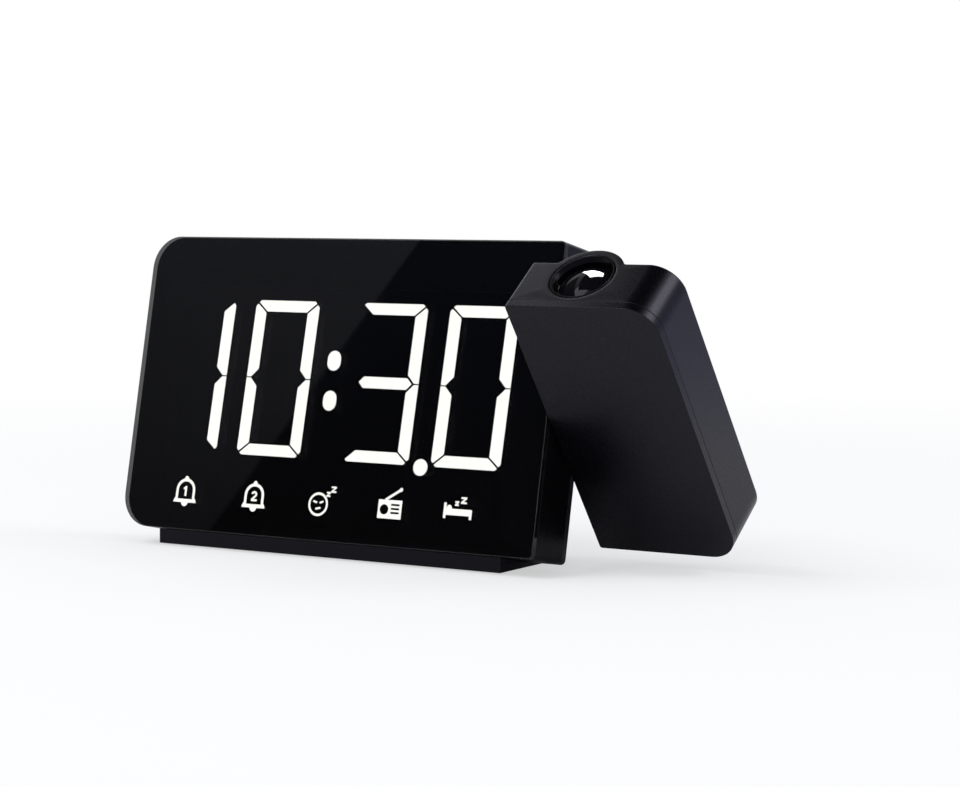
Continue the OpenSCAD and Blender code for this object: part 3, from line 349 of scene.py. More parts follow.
def moulded(name, colour, rough, spread=0.15, grain=0, grain_depth=0, metal=0, specular=0.5,
            cloud=60, vary=0.06, tint=(1, 1, 1)):
    """A moulded or finished surface: its colour and roughness drift slowly over the piece, and
    a fine grain lifts it. colour is linear, grain in waves per metre, grain_depth in metres."""
    material = bpy.data.materials.new(name)
    tree, output = node_tree(material)
    shader = tree.nodes.new("ShaderNodeBsdfPrincipled")
    shader.inputs["Metallic"].default_value = metal
    shader.inputs["Specular IOR Level"].default_value = specular
    shader.inputs["Specular Tint"].default_value = (*tint, 1)
    drift = noise(tree, cloud)
    light = tuple(min(1, c * (1 + vary)) for c in colour)
    dark = tuple(c * (1 - vary) for c in colour)
    tree.links.new(blended(tree, ranged(tree, drift, 0, 1), dark, light),
                   shader.inputs["Base Color"])
    speck = noise(tree, max(grain, 900), 2)
    tree.links.new(ranged(tree, speck, rough * (1 - spread), rough * (1 + spread)),
                   shader.inputs["Roughness"])
    if grain:
        bump = tree.nodes.new("ShaderNodeBump")
        bump.inputs["Strength"].default_value = 1
        bump.inputs["Distance"].default_value = grain_depth
        tree.links.new(noise(tree, grain, 2, 0.6), bump.inputs["Height"])
        tree.links.new(bump.outputs["Normal"], shader.inputs["Normal"])
    tree.links.new(shader.outputs[0], output.inputs["Surface"])
    return material


def smoked(name):
    """Smoked acrylic: a nearly black sheet, polished, that lets a share of the light through."""
    material = bpy.data.materials.new(name)
    tree, output = node_tree(material)
    shader = tree.nodes.new("ShaderNodeBsdfPrincipled")
    shader.inputs["Alpha"].default_value = 0.7
    shader.inputs["Specular IOR Level"].default_value = 0.8
    tint = blended(tree, ranged(tree, noise(tree, 25), 0, 1), (0.0016, 0.0016, 0.0018),
                   (0.0024, 0.0024, 0.0028))
    tree.links.new(tint, shader.inputs["Base Color"])
    tree.links.new(ranged(tree, noise(tree, 140), 0.010, 0.020), shader.inputs["Roughness"])
    tree.links.new(shader.outputs[0], output.inputs["Surface"])
    return material


slab_w = node_width("display_window")
slab_h = 92
slab_front = -9.75
window_t = 2
window_rim_r = 0.14
corner_left_r, corner_right_r = 10, 1.5
outline, outward = rounded_outline(slab_w, slab_h, corner_left_r, corner_right_r)
window_rings = plate_rings(outline, outward,
                           rounding(window_rim_r, slab_front, slab_front + window_t))
add_piece("window_plate", in_slab(window_rings), closed_rings(window_rings), "root",
          "smoked_window", smoked("smoked_acrylic"), "display_window")

# ---------- flags ----------
# Cards that only show in reflections. The polished window mirrors two of them: a grey one on
# the left and a black one on the right, whose edge crosses the window as a slanting line.
# The others shade the arm and the rims.
flag_distance = 0.55
window_middle = in_slab([0, slab_front, 0])
mirror_normal = -slab_back
camera_point = np.array(camera_place)
mirrored = camera_point - 2 * np.dot(camera_point - window_middle, mirror_normal) * mirror_normal


def mirrored_at(u, v):
    """The point of the cards that shows in the window at u, v for the camera."""
    spot = in_slab([u, slab_front, v])
    way = spot - mirrored
    return spot + way / np.linalg.norm(way) * flag_distance


def flag(name, corners, low, high=None, levels=(0, 1)):
    """A card through four points, seen only in reflections, whose glow goes from low to high
    between two levels of height. Without high it is even."""
    mesh = bpy.data.meshes.new(name)
    mesh.from_pydata([tuple(map(float, corner)) for corner in corners], [], [(0, 1, 2, 3)])
    card = bpy.data.objects.new(name, mesh)
    scene.collection.objects.link(card)
    material = bpy.data.materials.new(name + "_paint")
    tree, output = node_tree(material)
    glow = tree.nodes.new("ShaderNodeEmission")
    place = tree.nodes.new("ShaderNodeTexCoord")
    height = tree.nodes.new("ShaderNodeSeparateXYZ")
    tree.links.new(place.outputs["Object"], height.inputs[0])
    rise = ranged(tree, height.outputs["Z"], 0, 1, *levels)
    tree.links.new(blended(tree, rise, low, high or low), glow.inputs["Color"])
    tree.links.new(glow.outputs[0], output.inputs["Surface"])
    mesh.materials.append(material)
    card.visible_camera = False
    card.visible_diffuse = False
    card.visible_shadow = False
    card.visible_transmission = False


def level_card(x_low, x_high, y_low, y_high, z):
    """The corners of a level card."""
    return [(x_low, y_low, z), (x_high, y_low, z), (x_high, y_high, z), (x_low, y_high, z)]


def upright_card(left, right, z_low, z_high):
    """The corners of an upright card over the line between two places of the table."""
    return [(*left, z_low), (*right, z_low), (*right, z_high), (*left, z_high)]


# The slanting line goes through these two places of the window, in its own millimetres; the
# cards reach past its edges, and their glow changes over its height
line_top, line_bottom = (35, 60), (-50.4, -60)
reach_left, reach_right, reach_up = -110, 130, 60
window_levels = [float(mirrored_at(0, v)[2]) for v in (-slab_h / 2, slab_h / 2)]
flag("grey_flag", [mirrored_at(u, v) for u, v in (
    (reach_left, -reach_up), line_bottom, line_top, (reach_left, reach_up))],
    (0.065, 0.067, 0.075), (0.17, 0.18, 0.21), window_levels)
flag("black_flag", [mirrored_at(u, v) for u, v in (
    line_bottom, (reach_right, -reach_up), (reach_right, reach_up), line_top)],
    (0.01, 0.01, 0.012), (0.022, 0.028, 0.045), window_levels)
# A black card overhead keeps the top of the arm dark, and a grey one beside it the window's
# top rim
overhead = 0.44
flag("top_flag", level_card(-0.135, 0.27, -0.2, 0.3, overhead), (0.01, 0.01, 0.012))
flag("left_flag", level_card(-0.8, -0.205, -0.7, 0.14, overhead), (0.1, 0.1, 0.11))
# One behind on the left keeps the window's left rim dark; a bright one above it, leaning
# forward, draws the arm's upper rims as fine lines
flag("side_flag", upright_card((-0.85, -0.05), (-0.3, 0.33), 0, 0.2), (0.03, 0.03, 0.03))
flag("rim_card", [(-0.75, 0.2, 0.34), (-0.35, 0.55, 0.34), (-0.3, 0.5, 0.52), (-0.7, 0.15, 0.52)],
     (2.6, 2.6, 2.9))
# A cool grey one far behind on the right shades the right sides, darker towards their top
flag("back_card", upright_card((0.08, 0.5), (0.9, 0.5), 0, 0.5),
     (0.50, 0.54, 0.76), (0.40, 0.41, 0.55), (-0.03, 0.07))

# ---------- case, cover and foot ----------
# Moulded black shells. The case carries the window, the cover closes its back with screws,
# and the foot is screwed to the cover. Their shapes come from the frame, with broken edges.


def broken_edges(name, node, body, material, width, weld=1e-6, flat=0.5, segments=3,
                 angle=30, sharp=50):
    """A copy of a frame node, welded, with faces that bend less than flat degrees joined and
    edges over angle degrees rounded by width millimetres; those over sharp are shaded crisp."""
    source = frame["nodes"][node]
    mesh = source.data.copy()
    mesh.name = name
    shape = bmesh.new()
    shape.from_mesh(mesh)
    bmesh.ops.remove_doubles(shape, verts=shape.verts, dist=weld)
    bmesh.ops.dissolve_limit(shape, angle_limit=math.radians(flat), verts=shape.verts,
                             edges=shape.edges, delimit={"NORMAL"})
    shape.to_mesh(mesh)
    shape.free()
    mesh.materials.clear()
    mesh.materials.append(material)
    piece = bpy.data.objects.new(name, mesh)
    scene.collection.objects.link(piece)
    bevel = piece.modifiers.new("edges", "BEVEL")
    bevel.width = width * mm
    bevel.segments = segments
    bevel.limit_method = "ANGLE"
    bevel.angle_limit = math.radians(angle)
    mesh.shade_smooth()
    mesh.set_sharp_from_angle(angle=math.radians(sharp))
    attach(piece, body)
    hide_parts(node)


# Gloss on the black plastics is a little blue
cool = (0.80, 0.76, 1)
case_plastic = moulded("case_plastic", (0.0014, 0.0014, 0.0018), 0.30, grain=2600,
                       grain_depth=0.000003, specular=0.16, tint=cool)
cover_plastic = moulded("cover_plastic", (0.0075, 0.0072, 0.0088), 0.45, grain=2200,
                        grain_depth=0.00002, specular=0.45, tint=cool)
foot_plastic = moulded("foot_plastic", (0.0020, 0.0019, 0.0025), 0.40, grain=2200,
                       grain_depth=0.00002, specular=0.20, tint=cool)
broken_edges("case_shell", "front_case", "root", case_plastic, 0.2)
broken_edges("back_cover", "rear_cover", "root", cover_plastic, 0.2)
broken_edges("foot", "foot_base", "root", foot_plastic, 0.3)
broken_edges("cell_door", "battery_door", "battery_door", foot_plastic, 0.12)

# ---------- keys ----------
# Moulded black caps in slots of the top wall: a long snooze bar between two groups of three.
# Each rests on a switch of the board below it and is held in by its flange.
key_plastic = moulded("key_plastic", (0.006, 0.006, 0.007), 0.40, grain=2600,
                      grain_depth=0.00001, specular=0.35, tint=cool)
for key in ("snooze_bar", "key_time", "key_alarm_one", "key_alarm_two", "key_radio",
            "key_down", "key_up"):
    broken_edges(key + "_cap", key, key, key_plastic, 0.2)


# A pale mark is raised from the top of each key: strokes of one width, with round ends. It
# starts below the key's face, and the rim of its strokes is broken.
key_rise = 0.7
key_row_y = 0.5
mark_half_w = 0.21
mark_rise, mark_sunk, mark_rim = 0.14, 0.1, 0.05
mark_paint = moulded("mark_paint", (0.30, 0.30, 0.31), 0.55, vary=0.08, cloud=400)


def at_height(flat, height):
    """Flat points lifted to a height."""
    return np.concatenate([flat, np.full((len(flat), 1), height)], -1)


def stroke(path, closed, ends=5):
    """One raised stroke along a flat path: the path's two sides, half a width off it, with a
    half circle at each open end, carried from below the key's face to rise above it. The rim
    of an open stroke is broken by drawing its upper ring in."""
    path = np.asarray(path, float)
    if closed:
        way = np.roll(path, -1, 0) - np.roll(path, 1, 0)
    else:
        way = np.gradient(path, axis=0)
    way /= np.linalg.norm(way, axis=1)[:, None]
    across = np.stack([-way[:, 1], way[:, 0]], -1)
    side = across * mark_half_w
    if closed:
        rings = np.array([at_height(path + side, -mark_sunk), at_height(path + side, mark_rise),
                          at_height(path - side, mark_rise), at_height(path - side, -mark_sunk),
                          at_height(path + side, -mark_sunk)])
        return rings.reshape(-1, 3), ring_faces(*rings.shape[:2]).tolist()
    cap = np.radians(np.linspace(-90, 90, ends + 2)[1:-1])[:, None]
    head = path[-1] + mark_half_w * (np.cos(cap) * way[-1] + np.sin(cap) * across[-1])
    tail = path[0] - mark_half_w * (np.cos(cap) * way[0] + np.sin(cap) * across[0])
    border = np.concatenate([path - side, head, (path + side)[::-1], tail])
    middle = np.concatenate([path, np.repeat(path[-1:], len(head), 0), path[::-1],
                             np.repeat(path[:1], len(tail), 0)])
    rim = middle + (border - middle) * (1 - mark_rim / mark_half_w)
    rings = np.array([at_height(border, -mark_sunk), at_height(border, mark_rise - mark_rim),
                      at_height(rim, mark_rise)])
    return rings.reshape(-1, 3), closed_rings(rings)


def arc(radius, start, end, centre=(0, 0), steps=17):
    """Points of an arc of a radius round a centre, between two angles in degrees."""
    angle = np.radians(np.linspace(start, end, steps))
    return np.asarray(centre) + radius * np.stack([np.cos(angle), np.sin(angle)], -1)


class Patches:
    """Patches of one skin, gathered as points and faces. finish_mesh welds the points that
    they share."""

    def __init__(self):
        self.grids, self.faces, self.count = [], [], 0

    def add(self, grid, faces):
        grid = np.asarray(grid, float).reshape(-1, 3)
        self.grids.append(grid)
        self.faces += [[self.count + int(i) for i in face] for face in faces]
        self.count += len(grid)

    def points(self):
        return np.concatenate(self.grids)


# Each mark as a list of paths, in millimetres round the middle of its key's top; a path that
# is followed by True is closed
dial = arc(1.9, 0, 342, steps=20)
bell = np.concatenate([[[-1.9, -1.3]], arc(1.25, 180, 0, (0, 0.3), 13), [[1.9, -1.3]]])
alarm_bell = [(bell, False), ([[-1.9, -1.3], [1.9, -1.3]], False),
              ([[-0.3, -2], [0.3, -2]], False)]
key_marks = {
    "snooze_bar": [([[-2.2, 1.3], [2.2, 1.3], [-2.2, -1.3], [2.2, -1.3]], False)],
    "key_time": [(dial, True), ([[0, 0], [0, 1.2]], False), ([[0, 0], [0.85, -0.3]], False)],
    "key_alarm_one": alarm_bell + [([[2.9, -1.2], [2.9, 1.2]], False)],
    "key_alarm_two": alarm_bell + [([[x, -1.2], [x, 1.2]], False) for x in (2.7, 3.5)],
    "key_radio": [(arc(r, -50, 50, (-1.6, 0)), False) for r in (1.2, 2.3, 3.4)]
                 + [([[-1.6, 0], [-1.5, 0]], False)],
    "key_down": [([[-1.7, 0], [1.7, 0]], False)],
    "key_up": [([[-1.7, 0], [1.7, 0]], False), ([[0, -1.7], [0, 1.7]], False)],
}
for key, strokes in key_marks.items():
    mark = Patches()
    for path, closed in strokes:
        mark.add(*stroke(path, closed))
    key_middle = [(node_middle_x(key) - slab_middle[0]) / mm, key_row_y, slab_h / 2 + key_rise]
    add_piece(key + "_mark", in_slab(key_middle + mark.points()), mark.faces, key, "key_black",
              mark_paint)

# ---------- cover screws ----------
# Four pan-head screws with a cross recess, of blackened steel. They sit in the corners of the
# cover, sunk flush, and hold it to the bosses of the case.
screw_r, screw_l, screw_point_l, screw_point_share = 1.3, 8, 0.8, 0.4
head_r, head_t, head_rim, head_crown, rim_drop = 2.6, 1.4, 0.35, 0.25, 1.6
# The recess: its depth, and how wide, steep, long and sloping its two slots are
recess_deep, slot_half_w, slot_wall, slot_reach, slot_ramp = 0.9, 0.42, 0.12, 1.55, 0.55
screw_steps = 72
head_top = -slab_front - 0.1
left_x, right_x, far_z = 8 - slab_w / 2, slab_w / 2 - 7, slab_h / 2 - 11


def screw_grid():
    """The screw as circles from the middle of the head's top to its point: the head is a low
    crown that falls as the square of the radius, with two crossed slots that get shallower
    outwards, and the shank is a cylinder with a tapered end."""
    angle = np.linspace(0, 2 * np.pi, screw_steps, endpoint=False)
    rim_turn = np.linspace(0.3, np.pi / 2, 5)
    radius = np.concatenate([np.linspace(0, head_r - head_rim, 20),
                             head_r - head_rim * (1 - np.sin(rim_turn))])[:, None]
    u, v = radius * np.cos(angle), radius * np.sin(angle)
    narrow, wide = np.minimum(np.abs(u), np.abs(v)), np.maximum(np.abs(u), np.abs(v))
    recess = (recess_deep * np.clip((slot_half_w - narrow) / slot_wall, 0, 1)
              * np.clip((slot_reach - wide) / slot_ramp, 0, 1))
    crown = head_crown * (radius / head_r) ** 2
    rim = np.clip(radius - (head_r - head_rim), 0, 1) ** 2 * rim_drop
    top = np.stack([u, head_top - crown - rim - recess, v], -1)
    neck = head_top - head_t
    profile = np.array([(head_r, neck), (screw_r, neck), (screw_r, neck - screw_l + screw_point_l),
                        (screw_r * screw_point_share, neck - screw_l), (0, neck - screw_l)])
    shank = np.stack([profile[:, :1] * np.cos(angle),
                      np.broadcast_to(profile[:, 1:], (len(profile), screw_steps)),
                      profile[:, :1] * np.sin(angle)], -1)
    return np.concatenate([top, shank])


screw_metal = moulded("screw_metal", (0.06, 0.06, 0.065), 0.32, metal=1, vary=0.15, cloud=700)
screw = screw_grid()
for number, (x, z) in enumerate(((left_x, far_z), (left_x, -far_z), (right_x, -far_z),
                                 (right_x, far_z))):
    add_piece("cover_screw_%d" % (number + 1), in_slab(screw + np.array([x, 0, z])),
              ring_faces(*screw.shape[:2]), "root", "screw_black", screw_metal, "case_screws")

# ---------- sockets ----------
# The moulded barrel inlet and the folded steel shell of the charging socket. Both sit on a
# small board behind the left end and show in its openings.
inlet_plastic = moulded("inlet_plastic", (0.006, 0.006, 0.006), 0.3)
bare_steel = moulded("bare_steel", (0.55, 0.56, 0.57), 0.28, metal=1, vary=0.04)
broken_edges("barrel_inlet", "power_inlet", "root", inlet_plastic, 0.1)
broken_edges("charging_socket", "usb_socket", "root", bare_steel, 0.06)

# ---------- arm cover ----------
# The arm's flat front plate. A neck behind its rim leaves the fine groove between it and
# the shell; screws from the back hold it.
arm_up, arm_back = lean(joint_of["lens_slide"]["axis"])
arm_middle = part_middle("arm_cover", arm_back)


def in_arm(points):
    """Points across the arm, behind its middle and up it, in the shared frame."""
    return placed(points, arm_middle, arm_back, arm_up)


arm_w = node_width("arm_cover")
arm_h = 92
arm_front, arm_rear = -9.75, 9.75
cover_rear = arm_front + 2.58
cover_front_r, cover_rear_r = 0.18, 0.05
shell_front = -7.05
neck_inset = 0.3
arm_left_r, arm_right_r = 0.8, 9
arm_outline, arm_outward = rounded_outline(arm_w, arm_h, arm_left_r, arm_right_r)
# The front rim is rounded, close rings hold the edge's shading flat, and the neck follows
front_rows = 7
cover_profile = np.concatenate([
    rounding(cover_front_r, arm_front, cover_rear)[:front_rows],
    [[0, arm_front + 0.3], [0, cover_rear - 0.12], [0, cover_rear - cover_rear_r],
     [0.3 * cover_rear_r, cover_rear - 0.3 * cover_rear_r], [cover_rear_r, cover_rear],
     [neck_inset, cover_rear], [neck_inset, shell_front]]])
cover_rings = plate_rings(arm_outline, arm_outward, cover_profile)
arm_plastic = moulded("arm_plastic", (0.0010, 0.0009, 0.0018), 0.29, grain=2600,
                      grain_depth=0.000003, specular=0.30, tint=cool)
add_piece("arm_front_plate", in_arm(cover_rings), closed_rings(cover_rings), "projector_arm",
          "arm_cover_black", arm_plastic, "arm_cover")

# ---------- arm shell ----------
# One deep moulding: side walls, a flat back and a round lens housing that swells out of it
# and ends in a half dome. The lens bore opens in its top end.
lens_x, lens_y = -4.2, 3.75
housing_r = 12
dome_z = 10
bore_r = 9.48
bore_floor = 4.2
rim_r = 0.5
swell = 0.8


def housing_back(x, z):
    """Depth of the arm's back at x, z: the larger of the flat back and the lens housing, a
    capsule round the lens axis, joined by a soft maximum of width swell."""
    below = np.minimum(z - dome_z, 0)
    room = np.maximum(housing_r ** 2 - (x - lens_x) ** 2 - below ** 2, 0)
    capsule = lens_y + np.sqrt(room)
    apart = np.abs(capsule - arm_rear)
    return np.maximum(capsule, arm_rear) + np.maximum(swell - apart, 0) ** 2 / (4 * swell)


def arm_sides(inset):
    """Points of the shell's right and left side, row by row up the arm, drawn in by inset:
    the right side turns with the large corner, the left one with the small one."""
    turn = np.radians(np.linspace(0, 90, 15))
    straight = np.linspace(-arm_h / 2 + arm_right_r, arm_h / 2 - arm_right_r, 75)[1:-1]
    right_z = np.concatenate([-(arm_h / 2 - arm_right_r) - arm_right_r * np.sin(turn[::-1]),
                              straight, arm_h / 2 - arm_right_r + arm_right_r * np.sin(turn)])
    rows = []
    for sign, r in ((1, arm_right_r), (-1, arm_left_r)):
        centre_z = arm_h / 2 - r
        past = np.clip((np.abs(right_z) - centre_z) / r, 0, 1)
        tilt = np.arcsin(past) * np.sign(right_z)
        out_x, out_z = sign * np.cos(tilt), np.sin(tilt)
        x = sign * (arm_w / 2 - r) + out_x * r
        z = np.where(past > 0, np.sign(right_z) * (centre_z + r * past), right_z)
        rows.append(np.stack([x, z], -1) - inset * np.stack([out_x, out_z], -1))
    return rows


columns = np.linspace(-arm_w / 2 + arm_left_r, arm_w / 2 - arm_right_r, 67)


def shell_loop(inset):
    """The shell's whole outline, drawn in by inset, from the lower end of the right side on."""
    right, left = arm_sides(inset)
    top = np.stack([columns[::-1], np.full(len(columns), arm_h / 2 - inset)], -1)
    bottom = np.stack([columns, np.full(len(columns), -arm_h / 2 + inset)], -1)
    return np.concatenate([right, top, left[::-1], bottom])


def rim_depth(loop, drop):
    """Depth of the shell's rear rim along a loop, drop below the back."""
    return housing_back(loop[:, 0], loop[:, 1]) - drop


def sheet_faces(rows, cols):
    """Four-sided faces of an open grid."""
    index = np.arange(rows * cols).reshape(rows, cols)
    return np.stack([index[:-1, :-1], index[:-1, 1:], index[1:, 1:], index[1:, :-1]],
                    -1).reshape(-1, 4)


shell = Patches()
turn = np.linspace(0, np.pi / 2, 7)
# Rear rim: a quarter circle carried round the outline
rim = []
for angle in turn:
    loop = shell_loop(rim_r * (1 - np.sin(angle)))
    depth = rim_depth(loop, rim_r * (1 - np.cos(angle)))
    rim.append(np.stack([loop[:, 0], depth, loop[:, 1]], -1))
rim = np.array(rim)
shell.add(rim, ring_faces(*rim.shape[:2]))
# Back: rows from the left side to the right side, over the whole height
right, left = arm_sides(rim_r)
share = np.linspace(0, 1, 9)
left_x = left[:, None, 0] + (columns[0] - left[:, None, 0]) * share[None, :4] / share[3]
right_x = columns[-1] + (right[:, None, 0] - columns[-1]) * share[None, :]
middle_x = np.broadcast_to(columns[None, 1:-1], (len(left), len(columns) - 2))
back_x = np.concatenate([left_x, middle_x, right_x], 1)
reach = (back_x - left[:, None, 0]) / (right[:, None, 0] - left[:, None, 0])
back_z = left[:, None, 1] + (right[:, None, 1] - left[:, None, 1]) * reach
back_sheet = np.stack([back_x, housing_back(back_x, back_z), back_z], -1)
shell.add(back_sheet, sheet_faces(*back_sheet.shape[:2]))
# Walls: levels from the front rim to the rear rim, close together at both ends
front_rim = 0.06
loop = shell_loop(0)
rear = rim_depth(loop, rim_r)
level = np.concatenate([[0, 0.01], np.linspace(0.05, 0.95, 12), [0.99, 1]])[:, None]
wall_y = (shell_front + front_rim) + (rear - shell_front - front_rim)[None] * level
walls = np.stack([np.broadcast_to(loop[None, :, 0], wall_y.shape), wall_y,
                  np.broadcast_to(loop[None, :, 1], wall_y.shape)], -1)
right_end = len(right)
top_end = right_end + len(columns)
left_end = top_end + len(left)
for part in (walls[:, :right_end], walls[:, top_end:left_end], walls[:, left_end:]):
    shell.add(part, sheet_faces(*part.shape[:2]))
# Top face: straight lines from the bore's rim to the four edges of the face
top_wall = walls[:, right_end:top_end]
edge = np.concatenate([top_wall[0], top_wall[1:-1, -1], top_wall[-1, ::-1],
                       top_wall[-2:0:-1, 0]])
around = np.arctan2(edge[:, 1] - lens_y, edge[:, 0] - lens_x)
circle = np.stack([np.cos(around), np.sin(around)], -1)
# The bore's mouth flares out over its last 0.4: pairs of extra radius and depth
mouth = ((0.9, 0), (0.35, 0), (0.18, 0.06), (0.05, 0.2), (0, 0.4), (0, 5))
bore = []
for flare, depth in mouth:
    bore.append(np.stack([lens_x + (bore_r + flare) * circle[:, 0],
                          lens_y + (bore_r + flare) * circle[:, 1],
                          np.full(len(circle), arm_h / 2 - depth)], -1))
bore.append(bore[-1] * [1, 1, 0] + [0, 0, bore_floor])
bore = np.array([edge] + bore)
shell.add(bore, ring_faces(*bore.shape[:2]))
shell.add(bore[-1], [list(range(len(edge)))])
# Front rim and the hidden front face: pairs of inset and depth
front = []
for inset, depth in ((0, front_rim), (0.02, 0.02), (front_rim, 0), (neck_inset, 0)):
    ring = shell_loop(inset)
    front.append(np.stack([ring[:, 0], np.full(len(ring), shell_front + depth), ring[:, 1]], -1))
front = np.array(front)
shell.add(front, ring_faces(*front.shape[:2]))
shell.add(front[-1], [list(range(front.shape[1]))])
add_piece("arm_housing", in_arm(shell.points()), shell.faces, "projector_arm", "arm_black",
          arm_plastic, "arm_shell")

# ---------- projection lens ----------
# A turned focus ring of black plastic in the bore, and in it the lens cell with its retaining
# lip. The lens is a thick dome of coated glass that nearly fills the ring.
top_z = arm_h / 2
ring_foot_z = top_z - 9
bezel_r, ring_in_r = 9.4, 8.1
holder_r, holder_in_r, holder_top, holder_foot = 8.02, 5.6, 43.8, 28.1
glass_r, glass_edge, glass_top, glass_foot = 7.5, 43.4, 45.6, 40.6


def turned(profile, steps=120):
    """A profile of radius and height carried in a circle round the lens axis: shape (points of
    the profile, steps, 3) in the arm's millimetres."""
    profile = np.asarray(profile, float)
    angle = np.linspace(0, 2 * np.pi, steps, endpoint=False)
    radius, height = profile[:, None, 0], profile[:, None, 1]
    return np.stack([lens_x + radius * np.cos(angle), lens_y + radius * np.sin(angle),
                     np.broadcast_to(height, (len(profile), steps))], -1)


def turned_ring(name, profile, body, slot, material, *replaced):
    """A closed profile turned into a ring: its last circle is joined to its first."""
    rings = turned(np.concatenate([profile, profile[:1]]))
    return add_piece(name, in_arm(rings), ring_faces(*rings.shape[:2]), body, slot, material,
                     *replaced)


def quarter(centre, r, start, steps=6):
    """Points of a quarter circle round a centre of the profile, turning on from start degrees."""
    angle = np.radians(start + np.linspace(0, 90, steps))
    return np.asarray(centre) + r * np.stack([np.cos(angle), np.sin(angle)], -1)


ring_plastic = moulded("ring_plastic", (0.0010, 0.0010, 0.0013), 0.20, specular=0.07, tint=cool)
# The ring: a straight outer wall, a rounded rim and a cone that narrows towards the lens
turned_ring("focus_bezel", np.concatenate([
    [[bezel_r, ring_foot_z]], quarter((bezel_r - 0.2, top_z - 0.2), 0.2, 0),
    quarter((bezel_r - 0.45, top_z - 0.15), 0.15, 90)[:4],
    [[ring_in_r + 0.1, top_z - 1.3], [ring_in_r, top_z - 1.5], [ring_in_r, ring_foot_z]]]),
    "focus_ring", "ring_black", ring_plastic, "focus_ring")
# The cell: a tube with a lip round the lens and a seat under it
turned_ring("lens_holder", np.concatenate([
    [[holder_in_r, holder_foot], [holder_r, holder_foot], [holder_r, holder_top]],
    quarter((holder_r - 0.15, holder_top), 0.15, 0),
    [[glass_r + 0.2, holder_top + 0.15], [glass_r + 0.03, glass_edge + 0.1],
     [glass_r + 0.02, glass_foot - 0.1], [6, glass_foot - 0.1], [holder_in_r, 40]]]),
    "lens_cell", "lens_mount_black", ring_plastic, "lens_cell")
# The lens: the cap of a sphere through its top and its edge, over a short cylinder
dome_sag = glass_top - glass_edge
dome_r = (glass_r ** 2 + dome_sag ** 2) / (2 * dome_sag)
dome_angle = np.arcsin(glass_r / dome_r) * np.linspace(0, 1, 25)[:, None]
dome = np.concatenate([dome_r * np.sin(dome_angle),
                       glass_top - dome_r * (1 - np.cos(dome_angle))], -1)
glass = turned(np.concatenate([dome, [[glass_r, glass_foot], [glass_r / 2, glass_foot],
                                      [0, glass_foot]]]), 96)
lens_glass = bpy.data.materials.new("lens_glass")
tree, output = node_tree(lens_glass)
shader = tree.nodes.new("ShaderNodeBsdfPrincipled")
shader.inputs["Roughness"].default_value = 0.03
shader.inputs["Specular IOR Level"].default_value = 0.09
shader.inputs["Specular Tint"].default_value = (0.9, 0.92, 1, 1)
tree.links.new(blended(tree, ranged(tree, noise(tree, 160), 0, 1), (0.0020, 0.0022, 0.0030),
                       (0.0045, 0.0045, 0.0060)), shader.inputs["Base Color"])
tree.links.new(shader.outputs[0], output.inputs["Surface"])
lens_piece = add_piece("projection_lens", in_arm(glass), ring_faces(*glass.shape[:2]),
                       "lens_cell", "optical_glass", lens_glass, "objective_lens")
# A small lamp over the lens that only the lens mirrors, as a bright window
glint_way, glint_distance = np.array([-0.33, 0.51, 0.795]), 0.3
glint_spot = in_arm([lens_x, lens_y, glass_top])
glint = lamp("glint_lamp", place=glint_spot + glint_way * glint_distance, target=glint_spot,
             size=(0.105, 0.20), power=4.2)
glint.visible_diffuse = False
only_lens = bpy.data.collections.new("only_lens")
only_lens.objects.link(lens_piece)
glint.light_linking.receiver_collection = only_lens

# ---------- plain finishes of the remaining nodes ----------
# Pieces whose frame shape is right keep it and get their real material. The segments and
# signs that are lit are milky plastic over white LEDs; most of the others are inside.
lit_plastic = bpy.data.materials.new("lit_plastic")
tree, output = node_tree(lit_plastic)
glow = tree.nodes.new("ShaderNodeBsdfPrincipled")
glow.inputs["Base Color"].default_value = (0.8, 0.8, 0.75, 1)
glow.inputs["Emission Strength"].default_value = 10.9
tree.links.new(blended(tree, ranged(tree, noise(tree, 90), 0, 1), (1, 1, 0.93), (1, 1, 0.97)),
               glow.inputs["Emission Color"])
tree.links.new(glow.outputs[0], output.inputs["Surface"])

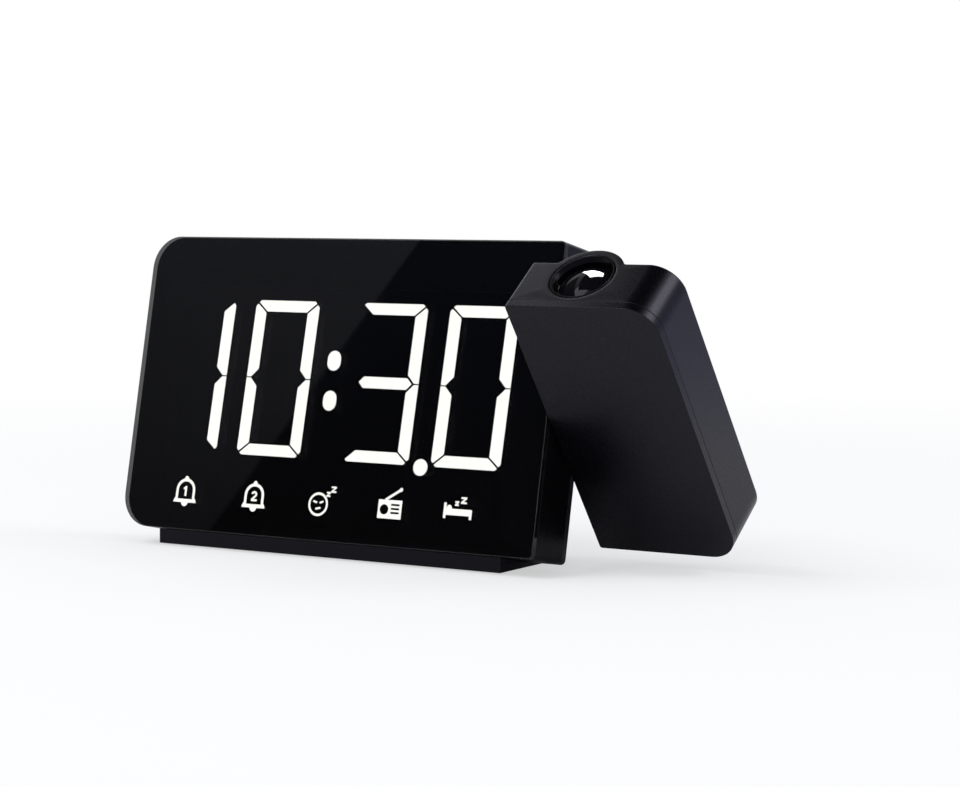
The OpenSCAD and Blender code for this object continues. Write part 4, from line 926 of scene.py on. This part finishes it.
finishes = {
    "lit_plastic": lit_plastic,
    "reflector_plastic": moulded("reflector_plastic", (0.003, 0.003, 0.004), 0.7, grain=2000,
                                 grain_depth=0.00001, specular=0.1),
    "dark_segment": moulded("dark_segment", (0.006, 0.006, 0.006), 0.6, specular=0.1),
    "board": moulded("board", (0.01, 0.07, 0.03), 0.4, vary=0.12, cloud=300),
    "chip": moulded("chip", (0.01, 0.01, 0.01), 0.45),
    "brass": moulded("brass", (0.7, 0.5, 0.22), 0.3, metal=1),
    "steel": bare_steel,
    "grey_plastic": moulded("grey_plastic", (0.07, 0.07, 0.075), 0.45),
    "paper": moulded("paper", (0.015, 0.015, 0.015), 0.8, grain=1500, grain_depth=0.00005),
    "black_screw": moulded("black_screw", (0.05, 0.05, 0.055), 0.35, metal=1),
    "rubber": moulded("rubber", (0.012, 0.012, 0.012), 0.8, grain=1800, grain_depth=0.00003),
    "nylon": moulded("nylon", (0.6, 0.58, 0.5), 0.4),
    "red_wire": moulded("red_wire", (0.35, 0.03, 0.02), 0.4),
    "yellow_led": moulded("yellow_led", (0.75, 0.7, 0.3), 0.3),
    "black_mount": moulded("black_mount", (0.008, 0.008, 0.008), 0.5),
    "aluminium": moulded("aluminium", (0.7, 0.71, 0.72), 0.35, metal=1),
    "glass": moulded("glass", (0.02, 0.02, 0.03), 0.05, specular=0.6),
}
finish_of = {
    "lit_segments": "lit_plastic", "status_signs": "lit_plastic",
    "segment_reflector": "reflector_plastic", "dark_segments": "dark_segment",
    "segment_leds": "yellow_led", "display_board": "board", "main_board": "board",
    "key_board": "board", "port_board": "board", "projector_board": "board",
    "board_spacers": "brass", "battery_contacts": "brass", "main_chips": "chip",
    "tact_switches": "grey_plastic", "speaker_basket": "steel", "speaker_magnet": "steel",
    "speaker_cone": "paper", "arm_screws": "black_screw",
    "foot_screws": "steel", "pivot_screws": "steel", "coin_cell": "steel",
    "friction_washer": "steel", "pivot_tube": "steel", "pivot_clip": "steel",
    "rubber_pads": "rubber", "pivot_bush": "nylon", "cable_socket": "nylon",
    "projector_socket": "nylon", "pivot_cable": "red_wire", "lens_sleeve": "black_mount",
    "spacer_ring": "black_mount", "slide_frame": "black_mount", "heat_sink": "aluminium",
    "condenser_lens": "glass", "projection_slide": "glass", "projection_led": "yellow_led",
}
for node, finish in finish_of.items():
    slots = frame["nodes"][node].data.materials
    slots.clear()
    slots.append(finishes[finish])
